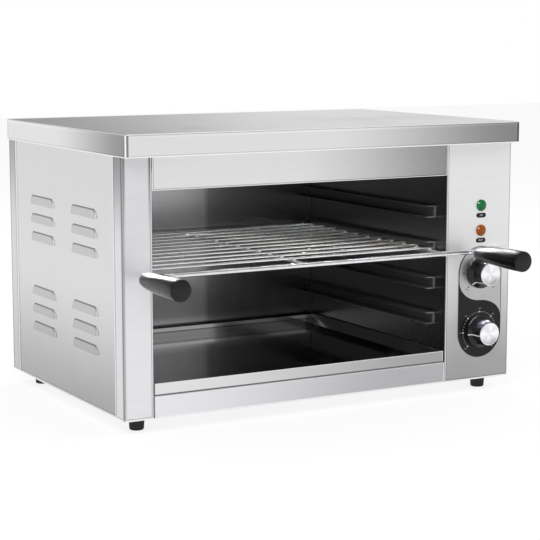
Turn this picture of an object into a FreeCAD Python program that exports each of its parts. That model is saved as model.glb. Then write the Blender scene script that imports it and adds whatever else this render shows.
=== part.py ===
import FreeCAD
import Part
import math
import os
import Sketcher

# Salamander grill for a worktop: an open-fronted cavity with a slide-out wire rack under
# tubular elements, and a control column on the right.
# Millimetres, +Z up. X runs from left to right and Y from front to back.
# The origin is on the worktop, under the middle of the overall box.

SIZES = {
    # Outer case
    "cover_width": 600.0,
    "cover_depth": 408.0,
    "cover_skirt": 29.0,
    "cover_overhang": 16.0,
    "cover_sheet": 1.2,
    "cover_fit": 0.5,
    "cover_bend": 2.0,
    "case_height": 362.0,
    "panel_sheet": 1.0,
    "panel_bend": 0.9,
    "base_sheet": 1.2,
    "seam": 1.2,
    "flat_gap": 0.3,
    "post_width": 40.0,
    "control_width": 108.0,
    "front_wrap": 28.0,
    "rear_wrap": 27.0,
    "side_tuck": 8.0,
    "side_flange": 12.0,
    "fascia_bottom_drop": 72.0,
    "fascia_flange": 20.0,
    "fascia_hem": 12.0,
    "rail_height": 29.2,
    "rail_flange": 20.0,
    # Side louvres and rear vents
    "louvre_length": 80.0,
    "louvre_height": 12.0,
    "louvre_lip": 5.0,
    "louvre_rise": 2.3,
    "louvre_pitch": 25.4,
    "louvre_low_edge": 71.5,
    "louvre_group_step": 126.5,
    "louvre_column_step": 144.0,
    "louvres_in_group": 3.0,
    "vent_length": 60.0,
    "vent_radius": 2.0,
    "vent_pitch": 12.0,
    "vent_low_edge": 200.0,
    "vent_rows": 8.0,
    "vent_column_step": 90.0,
    "vent_columns": 3.0,
    # Cavity lining
    "liner_sheet": 0.8,
    "liner_flange": 12.0,
    "rear_void": 25.3,
    "ceiling_drop": 26.0,
    "blanket_thickness": 20.0,
    "blanket_margin": 10.0,
    "blanket_front_gap": 5.0,
    # Rack rails
    "channel_depth": 14.0,
    "channel_height": 16.0,
    "channel_sheet": 1.0,
    "channel_pitch": 50.0,
    "channel_first": 80.0,
    "channel_front": 27.0,
    "channel_count": 4.0,
    # Wire rack
    "wire_radius": 2.0,
    "rack_lift": 0.2,
    "rack_side_gap": 1.0,
    "rack_runner_inset": 7.5,
    "rack_rear_gap": 16.0,
    "rack_tail": 6.0,
    "rack_first_wire": 31.0,
    "rack_wire_count": 11.0,
    "rack_middle_offset": 2.0,
    "bar_radius": 3.5,
    "bar_standoff": 8.0,
    "bar_bend": 8.0,
    "bar_left_reach": 21.2,
    "bar_right_reach": 36.2,
    "bar_in_grip": 60.0,
    "grip_start": 24.0,
    "grip_length": 103.0,
    "grip_inner_radius": 8.5,
    "grip_swell_radius": 11.8,
    "grip_outer_radius": 14.0,
    "grip_edge": 1.2,
    "grip_nose": 4.0,
    "grip_nose_length": 7.0,
    "grip_bore_fit": 0.05,
    "grip_bore_end": 1.0,
    # Crumb tray
    "tray_sheet": 0.8,
    "tray_height": 15.0,
    "tray_lift": 0.3,
    "tray_left_gap": 1.5,
    "tray_right_gap": 3.5,
    "tray_rear_gap": 15.0,
    "tray_side_slope": 6.0,
    "tray_hem": 5.0,
    # Heating elements
    "element_radius": 4.0,
    "element_drop": 24.0,
    "element_margin": 20.0,
    "element_bend": 28.0,
    "element_left_gap": 30.0,
    "element_tail": 27.0,
    "element_fit": 0.1,
    "hanger_sheet": 1.0,
    "hanger_height": 32.0,
    "hanger_flange": 10.0,
    "hanger_left_inset": 100.0,
    "hanger_span": 200.0,
    "collar_radius": 8.0,
    "collar_length": 6.0,
    "insulator_radius": 3.6,
    "insulator_length": 8.0,
    "stud_radius": 1.6,
    "stud_length": 16.0,
    "stud_fit": 0.05,
    "link_sheet": 1.0,
    "link_height": 8.0,
    # Control column
    "dial_inset": 50.3,
    "dial_low": 68.0,
    "dial_high": 152.0,
    "plate_radius": 36.6,
    "plate_sheet": 0.6,
    "shaft_radius": 3.0,
    "shaft_hole_radius": 5.2,
    "shaft_fit": 0.06,
    "shaft_in_knob": 17.0,
    "shaft_in_control": 22.0,
    "knob_gap": 0.5,
    "knob_radius": 22.5,
    "knob_skirt": 4.0,
    "knob_slope": 2.5,
    "knob_barrel_radius": 17.5,
    "knob_height": 22.5,
    "knob_wall": 2.5,
    "knob_recess": 4.0,
    "knob_hub_radius": 6.5,
    "knob_bore_fit": 0.02,
    "lobe_radius": 4.0,
    "lobe_offset": 20.3,
    "lobe_count": 8.0,
    "cap_radius": 16.0,
    "cap_thickness": 1.6,
    "cap_edge": 0.4,
    "screw_radius": 2.0,
    "screw_fit": 0.1,
    "screw_head_radius": 3.5,
    "screw_head": 2.0,
    "control_screw_offset": 14.0,
    "control_screw_grip": 7.0,
    "switch_width": 36.0,
    "switch_depth": 40.0,
    "thermostat_width": 38.0,
    "thermostat_height": 34.0,
    "thermostat_depth": 35.0,
    "lamp_low": 211.0,
    "lamp_high": 246.0,
    "lamp_radius": 8.0,
    "lamp_flange": 1.6,
    "lamp_dome": 4.0,
    "lamp_stem_radius": 5.0,
    "lamp_stem": 5.0,
    "lamp_fit": 0.1,
    "lamp_holder_radius": 7.5,
    "lamp_holder_length": 25.0,
    "label_drop": 13.8,
    "label_half_length": 8.0,
    "label_radius": 3.25,
    "label_sheet": 0.4,
    # Thermostat sensor
    "bulb_radius": 3.0,
    "bulb_length": 90.0,
    "bulb_wall_gap": 13.0,
    "bulb_drop": 14.0,
    "bulb_right_gap": 30.0,
    "bulb_nose": 1.5,
    "capillary_radius": 1.0,
    "capillary_hole_radius": 2.0,
    "clip_length": 6.0,
    "clip_wall": 2.5,
    "clip_inset": 15.0,
    "lead_radius": 1.3,
    # Supply side
    "gland_inset": 54.0,
    "gland_height": 60.0,
    "gland_thread_radius": 8.0,
    "gland_thread": 12.0,
    "gland_flange_radius": 12.0,
    "gland_flange": 5.0,
    "gland_nut_length": 15.0,
    "gland_nose_radius": 8.0,
    "gland_taper": 1.0,
    "gland_bore_radius": 4.5,
    "gland_fit": 0.1,
    "locknut_thickness": 5.0,
    "terminal_length": 44.0,
    "terminal_width": 26.0,
    "terminal_height": 18.0,
    "terminal_rear_gap": 35.0,
    "terminal_inset": 56.0,
    "terminal_hole_radius": 2.2,
    "terminal_poles": 3.0,
    "terminal_pitch": 8.0,
    # Places of the leads' ends and the straight runs next to them
    "lead_aside": 10.0,
    "lead_rise": 8.0,
    "lead_run": 28.0,
    "lead_stud_run": 24.0,
    "lead_block_run": 30.0,
    "lead_loop": 22.0,
    "lead_loop_bow": 4.0,
    "lead_loop_shift": 3.0,
    "lamp_lead_aside": 3.0,
    "lamp_lead_run": 20.0,
    "capillary_inlet": 16.0,
    # Feet and fasteners
    "foot_height": 18.0,
    "foot_top_radius": 11.0,
    "foot_base_radius": 9.5,
    "foot_edge": 1.0,
    "foot_side_inset": 30.0,
    "foot_front_inset": 30.0,
    "foot_rear_inset": 36.0,
    "foot_recess_radius": 5.5,
    "foot_recess": 8.0,
    "foot_screw_radius": 2.5,
    "foot_screw_head_radius": 4.6,
    "foot_screw_head": 3.0,
    "foot_screw_fit": 0.1,
    "foot_nut_radius": 4.6,
    "foot_nut": 4.0,
    "foot_screw_tail": 2.0,
    "cover_screw_count": 3.0,
    "cover_screw_span": 440.0,
    "cover_screw_length": 9.0,
}

document = FreeCAD.newDocument("salamander_grill")
sheet = document.addObject("Spreadsheet::Sheet", "sizes")


class Size:
    """A length known both as a number and as the sheet formula that gives it."""

    def __init__(self, value, formula):
        self.value = float(value)
        self.formula = formula

    def _join(self, other, sign, value):
        return Size(value, f"({self.formula} {sign} {other.formula})")

    def __add__(self, other):
        other = as_size(other)
        return self._join(other, "+", self.value + other.value)

    def __sub__(self, other):
        other = as_size(other)
        return self._join(other, "-", self.value - other.value)

    def __mul__(self, other):
        other = as_size(other)
        return self._join(other, "*", self.value * other.value)

    def __truediv__(self, other):
        other = as_size(other)
        return self._join(other, "/", self.value / other.value)

    def __radd__(self, other):
        return as_size(other) + self

    def __rsub__(self, other):
        return as_size(other) - self

    def __rmul__(self, other):
        return as_size(other) * self

    def __neg__(self):
        return as_size(0) - self


def as_size(number):
    """Wraps a plain number, and leaves a Size as it is."""
    if isinstance(number, Size):
        return number
    return Size(number, repr(float(number)))


class Dimensions:
    """The sheet's cells as attributes, each a Size."""

    def __init__(self, values):
        for row, (name, value) in enumerate(values.items(), start=1):
            sheet.set(f"A{row}", name)
            sheet.set(f"B{row}", str(value))
            sheet.setAlias(f"B{row}", name)
            setattr(self, name, Size(value, f"sizes.{name}"))


dim = Dimensions(SIZES)
document.recompute()

# Places in the cabinet's own frame: X from its middle, Y back from its front plane and
# Z up from its underside.
body_left = -(dim.cover_width / 2 - dim.cover_sheet - dim.cover_fit)
body_right = -body_left
body_rear = dim.cover_depth - dim.cover_overhang - dim.cover_sheet - dim.cover_fit
cover_back = dim.cover_depth - dim.cover_overhang
skirt_bottom = dim.case_height - dim.cover_skirt
under_cover = dim.case_height - dim.cover_sheet
base_top = dim.base_sheet
cavity_left = body_left + dim.post_width
cavity_right = body_right - dim.control_width
cavity_back = body_rear - dim.rear_void
ceiling = dim.case_height - dim.ceiling_drop
ceiling_top = ceiling + dim.liner_sheet
front_left = cavity_left + dim.seam
front_right = cavity_right + dim.flat_gap - dim.seam
floor_top = dim.rail_height + dim.liner_sheet
compartment = cavity_right + dim.liner_sheet
dial_x = body_right - dim.dial_inset
rack_level = dim.channel_first + dim.channel_pitch * (dim.channel_count - 2)
rack_z = rack_level + dim.channel_sheet + dim.rack_lift + dim.wire_radius
bar_left = cavity_left - dim.bar_left_reach
bar_right = cavity_right + dim.bar_right_reach
element_z = ceiling - dim.element_drop
element_pitch = (cavity_back - 2 * dim.element_margin) / 3
element_turn = cavity_left + dim.element_left_gap + dim.element_bend
element_end = cavity_right + dim.element_tail
gland_x = body_right - dim.gland_inset
gland_end = body_rear + dim.gland_flange + dim.gland_nut_length
grip_end = dim.grip_start + dim.grip_length
cabinet_y = (grip_end - gland_end) / 2
zero = as_size(0)

SKETCH_PLANE = {"X": "YZ_Plane", "Y": "XZ_Plane", "Z": "XY_Plane"}
COORDINATE = {"X": 0, "Y": 1, "Z": 2}
TOLERANCE = 1e-4


def bind(item, path, size):
    """Ties one property of an object to the sheet."""
    item.setExpression(path, as_size(size).formula)


def place(item, x, y, z):
    """Puts a piece at a point of the cabinet's frame."""
    bind(item, "Placement.Base.x", x)
    bind(item, "Placement.Base.y", y + cabinet_y)
    bind(item, "Placement.Base.z", z + dim.foot_height)


pieces = []


def new_piece(label, x=zero, y=zero, z=zero):
    """Starts a sub-part whose own origin lies at a point of the cabinet's frame."""
    body = document.addObject("PartDesign::Body", label)
    body.Label = label
    body.AllowCompound = True
    place(body, x, y, z)
    pieces.append(body)
    return body


def origin_feature(body, role):
    """Finds one of the body's own origin planes or axes."""
    for feature in body.Origin.OriginFeatures:
        if feature.Role == role:
            return feature
    raise ValueError(role)


class Outline:
    """A closed outline of straight sides through the given corners."""

    def __init__(self, *corners):
        self.corners = [(as_size(x), as_size(y)) for x, y in corners]

    def draw(self, sketch):
        first = sketch.GeometryCount
        count = len(self.corners)
        points = [FreeCAD.Vector(x.value, y.value, 0) for x, y in self.corners]
        for index, point in enumerate(points):
            sketch.addGeometry(Part.LineSegment(point, points[(index + 1) % count]), False)
        for index in range(count):
            following = first + (index + 1) % count
            sketch.addConstraint(Sketcher.Constraint("Coincident", first + index, 2, following, 1))
        for index, (x, y) in enumerate(self.corners):
            pin(sketch, first + index, 1, x, y)


class Disc:
    """A circle."""

    def __init__(self, x, y, radius):
        self.x = as_size(x)
        self.y = as_size(y)
        self.radius = radius

    def draw(self, sketch):
        centre = FreeCAD.Vector(self.x.value, self.y.value, 0)
        circle = Part.Circle(centre, FreeCAD.Vector(0, 0, 1), self.radius.value)
        index = sketch.addGeometry(circle, False)
        pin(sketch, index, 3, self.x, self.y)
        measure(sketch, "Radius", [index], self.radius)


class Slot:
    """A straight slot with round ends about two centres."""

    def __init__(self, start, end, radius):
        self.start = (as_size(start[0]), as_size(start[1]))
        self.end = (as_size(end[0]), as_size(end[1]))
        self.radius = radius

    def draw(self, sketch):
        start = FreeCAD.Vector(self.start[0].value, self.start[1].value, 0)
        end = FreeCAD.Vector(self.end[0].value, self.end[1].value, 0)
        radius = self.radius.value
        heading = math.atan2(end.y - start.y, end.x - start.x)
        side = FreeCAD.Vector(-math.sin(heading), math.cos(heading), 0) * radius
        quarter = math.pi / 2
        up = FreeCAD.Vector(0, 0, 1)
        far_arc = Part.ArcOfCircle(Part.Circle(end, up, radius), heading - quarter, heading + quarter)
        near_arc = Part.ArcOfCircle(
            Part.Circle(start, up, radius), heading + quarter, heading + 3 * quarter
        )
        first = sketch.GeometryCount
        sketch.addGeometry(far_arc, False)
        sketch.addGeometry(Part.LineSegment(end + side, start + side), False)
        sketch.addGeometry(near_arc, False)
        sketch.addGeometry(Part.LineSegment(start - side, end - side), False)
        for index in range(4):
            following = first + (index + 1) % 4
            sketch.addConstraint(Sketcher.Constraint("Tangent", first + index, 2, following, 1))
        sketch.addConstraint(Sketcher.Constraint("Equal", first, first + 2))
        pin(sketch, first, 3, *self.end)
        pin(sketch, first + 2, 3, *self.start)
        measure(sketch, "Radius", [first], self.radius)


def measure(sketch, kind, elements, size):
    """Adds one dimension to a sketch and ties it to the sheet."""
    index = sketch.addConstraint(Sketcher.Constraint(kind, *elements, size.value))
    sketch.setExpression(f"Constraints[{index}]", size.formula)


def pin(sketch, geometry, point, x, y):
    """Holds a point of the sketch at its place from the sketch's origin."""
    measure(sketch, "DistanceX", [-1, 1, geometry, point], x)
    measure(sketch, "DistanceY", [-1, 1, geometry, point], y)


def rectangle(x0, x1, y0, y1):
    """An upright rectangle between two places each way."""
    return Outline((x0, y0), (x1, y0), (x1, y1), (x0, y1))


def sketch_across(body, axis, position, outlines):
    """Draws outlines on the plane across an axis at a position along it."""
    sketch = body.newObject("Sketcher::SketchObject", "Profile")
    sketch.AttachmentSupport = [(origin_feature(body, SKETCH_PLANE[axis]), "")]
    sketch.MapMode = "FlatFace"
    offset = as_size(position)
    if axis == "Y":
        offset = -offset
    bind(sketch, "AttachmentOffset.Base.z", offset)
    for outline in outlines:
        outline.draw(sketch)
    return sketch


def add_block(body, axis, start, end, *outlines):
    """Adds the outlines as straight material from start up to end along an axis."""
    sketch = sketch_across(body, axis, start, outlines)
    pad = body.newObject("PartDesign::Pad", "Block")
    pad.Profile = sketch
    pad.Reversed = axis == "Y"
    bind(pad, "Length", end - start)
    return pad


def cut_block(body, axis, start, end, *outlines):
    """Takes the outlines out from start up to end along an axis, and makes sure that it cuts."""
    document.recompute()
    before = body.Shape.Volume
    sketch = sketch_across(body, axis, start, outlines)
    pocket = body.newObject("PartDesign::Pocket", "Opening")
    pocket.Profile = sketch
    pocket.Reversed = axis != "Y"
    bind(pocket, "Length", end - start)
    document.recompute()
    if not body.Shape.Volume < before - TOLERANCE:
        raise RuntimeError(f"{body.Label}: an opening cuts nothing")
    return pocket


def turn(body, axis, *corners):
    """Turns a profile of (place along the axis, radius) corners about the axis."""
    if axis == "Z":
        sketch = sketch_across(body, "Y", zero, [Outline(*[(r, a) for a, r in corners])])
        line = "V_Axis"
    else:
        plane = "Y" if axis == "X" else "X"
        sketch = sketch_across(body, plane, zero, [Outline(*corners)])
        line = "H_Axis"
    turned = body.newObject("PartDesign::Revolution", "Turned")
    turned.Profile = sketch
    turned.ReferenceAxis = (sketch, [line])
    turned.Angle = 360
    return turned


def repeat(body, features, *rows):
    """Copies features along one or more rows of (axis, pitch, count)."""
    patterns = []
    for axis, pitch, count in rows:
        pattern = body.newObject("PartDesign::LinearPattern", "Row")
        pattern.Direction = (origin_feature(body, f"{axis}_Axis"), [""])
        bind(pattern, "Length", pitch * (count - 1))
        bind(pattern, "Occurrences", count)
        patterns.append(pattern)
    if len(patterns) == 1:
        copies = patterns[0]
        copies.Originals = features
    else:
        copies = body.newObject("PartDesign::MultiTransform", "Grid")
        copies.Originals = features
        copies.Transformations = patterns
    body.Tip = copies
    return copies


def repeat_round(body, features, axis, count):
    """Copies features evenly about an axis."""
    pattern = body.newObject("PartDesign::PolarPattern", "Round")
    pattern.Originals = features
    pattern.Axis = (origin_feature(body, f"{axis}_Axis"), [""])
    pattern.Angle = 360
    bind(pattern, "Occurrences", count)
    body.Tip = pattern
    return pattern


def runs_along(edge, axis, places):
    """Tells whether an edge is straight along an axis and lies at the given places."""
    if not isinstance(edge.Curve, Part.Line):
        return False
    first = edge.Vertexes[0].Point
    last = edge.Vertexes[-1].Point
    for name, index in COORDINATE.items():
        if name != axis and abs(first[index] - last[index]) > TOLERANCE:
            return False
        if name in places and abs(first[index] - places[name].value) > TOLERANCE:
            return False
    return True


def circles_at(edge, axis, position, radius):
    """Tells whether an edge is a full circle about an axis at a position along it."""
    if not isinstance(edge.Curve, Part.Circle):
        return False
    off_place = abs(edge.Curve.Center[COORDINATE[axis]] - position.value)
    return off_place < TOLERANCE and abs(edge.Curve.Radius - radius.value) < TOLERANCE


def round_off(body, radius, test):
    """Rounds the edges of the piece so far that pass a test."""
    document.recompute()
    base = body.Tip
    edges = enumerate(base.Shape.Edges, start=1)
    names = [f"Edge{number}" for number, edge in edges if test(edge)]
    if not names:
        raise RuntimeError(f"{body.Label}: no edge to round")
    fillet = body.newObject("PartDesign::Fillet", "Rounding")
    fillet.Base = (base, names)
    bind(fillet, "Radius", radius)
    return fillet


def bend(body, radius, axis, **places):
    """Rounds the straight edges that run along an axis at the given places."""
    return round_off(body, radius, lambda edge: runs_along(edge, axis, places))


def round_rim(body, radius, axis, position, rim_radius):
    """Rounds a circular edge about an axis."""
    return round_off(body, radius, lambda edge: circles_at(edge, axis, position, rim_radius))


# Outer case


def make_top_cover():
    """Folded lid with a skirt all round and a lip that turns back under its front overhang."""
    body = new_piece("top_cover")
    half = dim.cover_width / 2
    wall = dim.cover_sheet
    front = -dim.cover_overhang
    add_block(body, "Z", skirt_bottom, dim.case_height, rectangle(-half, half, front, cover_back))
    for x in (-half, half):
        for y in (front, cover_back):
            bend(body, dim.cover_bend, "Z", X=x, Y=y)
    top = dim.case_height
    round_off(body, dim.cover_bend, lambda edge: lies_in_plane(edge, "Z", top))
    inside = (-half + wall, half - wall)
    hollow = rectangle(*inside, front + wall, cover_back - wall)
    cut_block(body, "Z", skirt_bottom + wall, under_cover, hollow)
    mouth = rectangle(*inside, -dim.flat_gap, cover_back - wall)
    cut_block(body, "Z", skirt_bottom, skirt_bottom + wall, mouth)
    hole = Disc(-dim.cover_screw_span / 2, cover_screw_z(), dim.screw_radius + dim.screw_fit)
    holes = cut_block(body, "Y", cover_back - wall, cover_back, hole)
    repeat(body, [holes], cover_screw_row())


def lies_in_plane(edge, axis, position):
    """Tells whether a whole edge lies at one position along an axis."""
    return all(
        abs(vertex.Point[COORDINATE[axis]] - position.value) < TOLERANCE for vertex in edge.Vertexes
    )


def cover_screw_z():
    """Height of the screws in the rear skirt."""
    return skirt_bottom + dim.cover_skirt / 2


def cover_screw_row():
    """The row that the rear skirt's screws and their holes share."""
    return ("X", dim.cover_screw_span / (dim.cover_screw_count - 1), dim.cover_screw_count)


def make_front_left_post():
    """Left front upright, folded round the corner of the case."""
    body = new_piece("front_left_post")
    wall = dim.panel_sheet
    profile = Outline(
        (body_left, zero),
        (cavity_left, zero),
        (cavity_left, wall),
        (body_left + wall, wall),
        (body_left + wall, dim.front_wrap),
        (body_left, dim.front_wrap),
    )
    add_block(body, "Z", base_top, under_cover, profile)
    bend(body, dim.panel_bend, "Z", X=body_left, Y=zero)


def make_control_panel():
    """Right front panel, folded round the corner, with holes for the lamps and controls."""
    body = new_piece("control_panel")
    wall = dim.panel_sheet
    left = cavity_right + dim.flat_gap
    profile = Outline(
        (left, zero),
        (body_right, zero),
        (body_right, dim.front_wrap),
        (body_right - wall, dim.front_wrap),
        (body_right - wall, wall),
        (left, wall),
    )
    add_block(body, "Z", base_top, under_cover, profile)
    bend(body, dim.panel_bend, "Z", X=body_right, Y=zero)
    lamp_hole = dim.lamp_stem_radius + dim.lamp_fit
    lamps = [Disc(dial_x, height, lamp_hole) for height in (dim.lamp_low, dim.lamp_high)]
    cut_block(body, "Y", zero, wall, *lamps, *control_holes(zero))


def control_holes(origin_z):
    """Holes for the two shafts and the screws on both sides of each, from a given height."""
    holes = []
    for height in (dim.dial_low, dim.dial_high):
        level = height - origin_z
        holes.append(Disc(dial_x, level, dim.shaft_hole_radius))
        for side in (-1, 1):
            x = dial_x + side * dim.control_screw_offset
            holes.append(Disc(x, level, dim.screw_radius + dim.screw_fit))
    return holes


def make_fascia():
    """Folded front strip that hides the elements, hung over the front of the ceiling."""
    body = new_piece("front_fascia")
    wall = dim.panel_sheet
    bottom = dim.case_height - dim.fascia_bottom_drop
    top = ceiling_top + wall
    profile = Outline(
        (zero, bottom),
        (dim.fascia_hem, bottom),
        (dim.fascia_hem, bottom + wall),
        (wall, bottom + wall),
        (wall, ceiling_top),
        (dim.fascia_flange, ceiling_top),
        (dim.fascia_flange, top),
        (zero, top),
    )
    add_block(body, "X", front_left, front_right, profile)
    bend(body, dim.panel_bend, "X", Y=zero, Z=bottom)


def make_lower_front_rail():
    """Channel across the front under the crumb tray."""
    body = new_piece("lower_front_rail")
    wall = dim.panel_sheet
    depth = dim.rail_flange
    top = dim.rail_height
    profile = Outline(
        (zero, base_top),
        (depth, base_top),
        (depth, base_top + wall),
        (wall, base_top + wall),
        (wall, top - wall),
        (depth, top - wall),
        (depth, top),
        (zero, top),
    )
    add_block(body, "X", front_left, front_right, profile)
    bend(body, dim.panel_bend, "X", Y=zero, Z=top)


def make_base_plate():
    """Flat bottom sheet that everything stands on."""
    body = new_piece("base_plate")
    add_block(body, "Z", zero, base_top, rectangle(body_left, body_right, zero, body_rear))
    hole = Disc(
        body_left + dim.foot_side_inset,
        dim.foot_front_inset,
        dim.foot_screw_radius + dim.foot_screw_fit,
    )
    holes = cut_block(body, "Z", zero, base_top, hole)
    repeat(body, [holes], *foot_rows())


def foot_rows():
    """The two rows that the feet, their screws and the nuts share."""
    across = body_right - body_left - 2 * dim.foot_side_inset
    along = body_rear - dim.foot_front_inset - dim.foot_rear_inset
    two = as_size(2)
    return (("X", across, two), ("Y", along, two))


def make_side_panel(label, outer, inward):
    """Louvred side sheet behind the front and rear wraps, with a flange under the cover."""
    body = new_piece(label)
    wall = inward * dim.panel_sheet
    front = dim.side_tuck
    rear = body_rear - dim.side_tuck
    add_block(body, "Z", base_top, under_cover, rectangle(outer, outer + wall, front, rear))
    flange = rectangle(outer + wall, outer + inward * dim.side_flange, front, rear)
    add_block(body, "Z", under_cover - dim.panel_sheet, under_cover, flange)
    low = dim.louvre_low_edge
    rise = inward * dim.louvre_rise
    first = (front + rear - dim.louvre_column_step - dim.louvre_length) / 2
    last = first + dim.louvre_length
    sheet_in = dim.panel_sheet
    hood = Outline(
        (outer, low),
        (outer - rise, low),
        (outer - rise, low + dim.louvre_lip),
        (outer, low + dim.louvre_height),
    )
    void = Outline(
        (outer + wall, low),
        (outer + wall - rise, low),
        (outer + wall - rise, low + dim.louvre_lip - sheet_in),
        (outer + wall, low + dim.louvre_height - sheet_in),
    )
    raised = add_block(body, "Y", first, last, hood)
    hollow = cut_block(body, "Y", first + sheet_in, last - sheet_in, void)
    repeat(
        body,
        [raised, hollow],
        ("Z", dim.louvre_pitch, dim.louvres_in_group),
        ("Z", dim.louvre_group_step, as_size(2)),
        ("Y", dim.louvre_column_step, as_size(2)),
    )


def make_rear_panel():
    """Back sheet folded round both rear corners, with vents and the cable entry."""
    body = new_piece("rear_panel")
    wall = dim.panel_sheet
    start = body_rear - dim.rear_wrap
    profile = Outline(
        (body_left, start),
        (body_left, body_rear),
        (body_right, body_rear),
        (body_right, start),
        (body_right - wall, start),
        (body_right - wall, body_rear - wall),
        (body_left + wall, body_rear - wall),
        (body_left + wall, start),
    )
    add_block(body, "Z", base_top, under_cover, profile)
    for x in (body_left, body_right):
        bend(body, dim.panel_bend, "Z", X=x, Y=body_rear)
    entry = Disc(gland_x, dim.gland_height, dim.gland_thread_radius + dim.gland_fit)
    cut_block(body, "Y", body_rear - wall, body_rear, entry)
    hole = Disc(-dim.cover_screw_span / 2, cover_screw_z(), dim.screw_radius + dim.screw_fit)
    holes = cut_block(body, "Y", body_rear - wall, body_rear, hole)
    repeat(body, [holes], cover_screw_row())
    columns = dim.vent_column_step * (dim.vent_columns - 1)
    x = -columns / 2 - dim.vent_length / 2
    vent = Slot((x, dim.vent_low_edge), (x + dim.vent_length, dim.vent_low_edge), dim.vent_radius)
    vents = cut_block(body, "Y", body_rear - wall, body_rear, vent)
    repeat(
        body,
        [vents],
        ("Z", dim.vent_pitch, dim.vent_rows),
        ("X", dim.vent_column_step, dim.vent_columns),
    )


# Cavity lining


def element_leg_places():
    """Y of the six straight element legs, front to back."""
    places = []
    for index in range(3):
        middle = dim.element_margin + element_pitch * (index + 0.5)
        places += [middle - dim.element_bend, middle + dim.element_bend]
    return places


def make_liner_wall(label, face, outward):
    """Cavity side wall with a front flange behind the upright beside it."""
    body = new_piece(label)
    back = face + outward * dim.liner_sheet
    tip = face + outward * dim.liner_flange
    front = dim.panel_sheet
    profile = Outline(
        (face, front),
        (tip, front),
        (tip, front + dim.liner_sheet),
        (back, front + dim.liner_sheet),
        (back, cavity_back),
        (face, cavity_back),
    )
    add_block(body, "Z", base_top, ceiling, profile)
    return body


def make_right_liner_wall():
    """Cavity wall next to the controls, holed for the element legs and the capillary."""
    body = make_liner_wall("right_liner_wall", cavity_right, 1)
    hole = dim.element_radius + dim.element_fit
    legs = [Disc(y, element_z, hole) for y in element_leg_places()]
    sensor = Disc(bulb_y(), bulb_z(), dim.capillary_hole_radius)
    cut_block(body, "X", cavity_right, compartment, *legs, sensor)


def make_rear_liner_wall():
    """Cavity back wall."""
    body = new_piece("rear_liner_wall")
    wall = dim.liner_sheet
    face = rectangle(cavity_left - wall, cavity_right + wall, base_top, ceiling)
    add_block(body, "Y", cavity_back, cavity_back + wall, face)


def make_ceiling():
    """Reflector sheet that closes the cavity above the elements."""
    body = new_piece("cavity_ceiling")
    wall = dim.liner_sheet
    area = rectangle(cavity_left - wall, cavity_right + wall, dim.panel_sheet, cavity_back + wall)
    add_block(body, "Z", ceiling, ceiling_top, area)


def make_cavity_floor():
    """Bench that carries the crumb tray, folded down to the base plate at both sides."""
    body = new_piece("cavity_floor")
    wall = dim.liner_sheet
    top = rectangle(cavity_left, cavity_right, zero, cavity_back)
    add_block(body, "Z", dim.rail_height, floor_top, top)
    start = dim.rail_flange + dim.seam
    legs = [
        rectangle(cavity_left, cavity_left + wall, start, cavity_back),
        rectangle(cavity_right - wall, cavity_right, start, cavity_back),
    ]
    add_block(body, "Z", base_top, dim.rail_height, *legs)


def make_rack_rails(label, wall_face, inward):
    """Channels on one side wall, open towards the cavity and at the front."""
    body = new_piece(label)
    sheet_in = dim.channel_sheet
    web = wall_face + inward * sheet_in
    tip = wall_face + inward * dim.channel_depth
    low = dim.channel_first
    high = low + dim.channel_height
    profile = Outline(
        (wall_face, low),
        (tip, low),
        (tip, low + sheet_in),
        (web, low + sheet_in),
        (web, high - sheet_in),
        (tip, high - sheet_in),
        (tip, high),
        (wall_face, high),
    )
    channel = add_block(body, "Y", dim.channel_front, cavity_back, profile)
    repeat(body, [channel], ("Z", dim.channel_pitch, dim.channel_count))


def make_blanket():
    """Insulation on top of the ceiling."""
    body = new_piece("insulation_blanket")
    margin = dim.blanket_margin
    area = rectangle(
        cavity_left + margin,
        cavity_right - margin,
        dim.fascia_flange + dim.blanket_front_gap,
        cavity_back - margin,
    )
    add_block(body, "Z", ceiling_top, ceiling_top + dim.blanket_thickness, area)


# Heating


def make_element(label, index):
    """One hairpin element: two legs along X joined by a half turn at the left."""
    middle = dim.element_margin + element_pitch * (index + 0.5)
    body = new_piece(label, zero, middle, element_z)
    path = body.newObject("Sketcher::SketchObject", "Path")
    path.AttachmentSupport = [(origin_feature(body, "XY_Plane"), "")]
    path.MapMode = "FlatFace"
    radius = dim.element_bend
    centre = FreeCAD.Vector(element_turn.value, 0, 0)
    quarter = math.pi / 2
    circle = Part.Circle(centre, FreeCAD.Vector(0, 0, 1), radius.value)
    near = FreeCAD.Vector(element_end.value, -radius.value, 0)
    far = FreeCAD.Vector(element_end.value, radius.value, 0)
    turn_near = FreeCAD.Vector(element_turn.value, -radius.value, 0)
    turn_far = FreeCAD.Vector(element_turn.value, radius.value, 0)
    path.addGeometry(Part.ArcOfCircle(circle, quarter, 3 * quarter), False)
    path.addGeometry(Part.LineSegment(turn_near, near), False)
    path.addGeometry(Part.LineSegment(far, turn_far), False)
    path.addConstraint(Sketcher.Constraint("Tangent", 0, 2, 1, 1))
    path.addConstraint(Sketcher.Constraint("Tangent", 2, 2, 0, 1))
    path.addConstraint(Sketcher.Constraint("Horizontal", 1))
    path.addConstraint(Sketcher.Constraint("Horizontal", 2))
    pin(path, 0, 3, element_turn, zero)
    measure(path, "Radius", [0], radius)
    measure(path, "DistanceX", [-1, 1, 1, 2], element_end)
    measure(path, "DistanceX", [-1, 1, 2, 1], element_end)
    section = sketch_across(body, "X", element_end, [Disc(-radius, zero, dim.element_radius)])
    sweep_along(body, section, path)


def sweep_along(body, section, path):
    """Carries a section along a path sketch as one tube."""
    pipe = body.newObject("PartDesign::AdditivePipe", "Tube")
    pipe.Profile = section
    pipe.Spine = path
    return pipe


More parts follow.
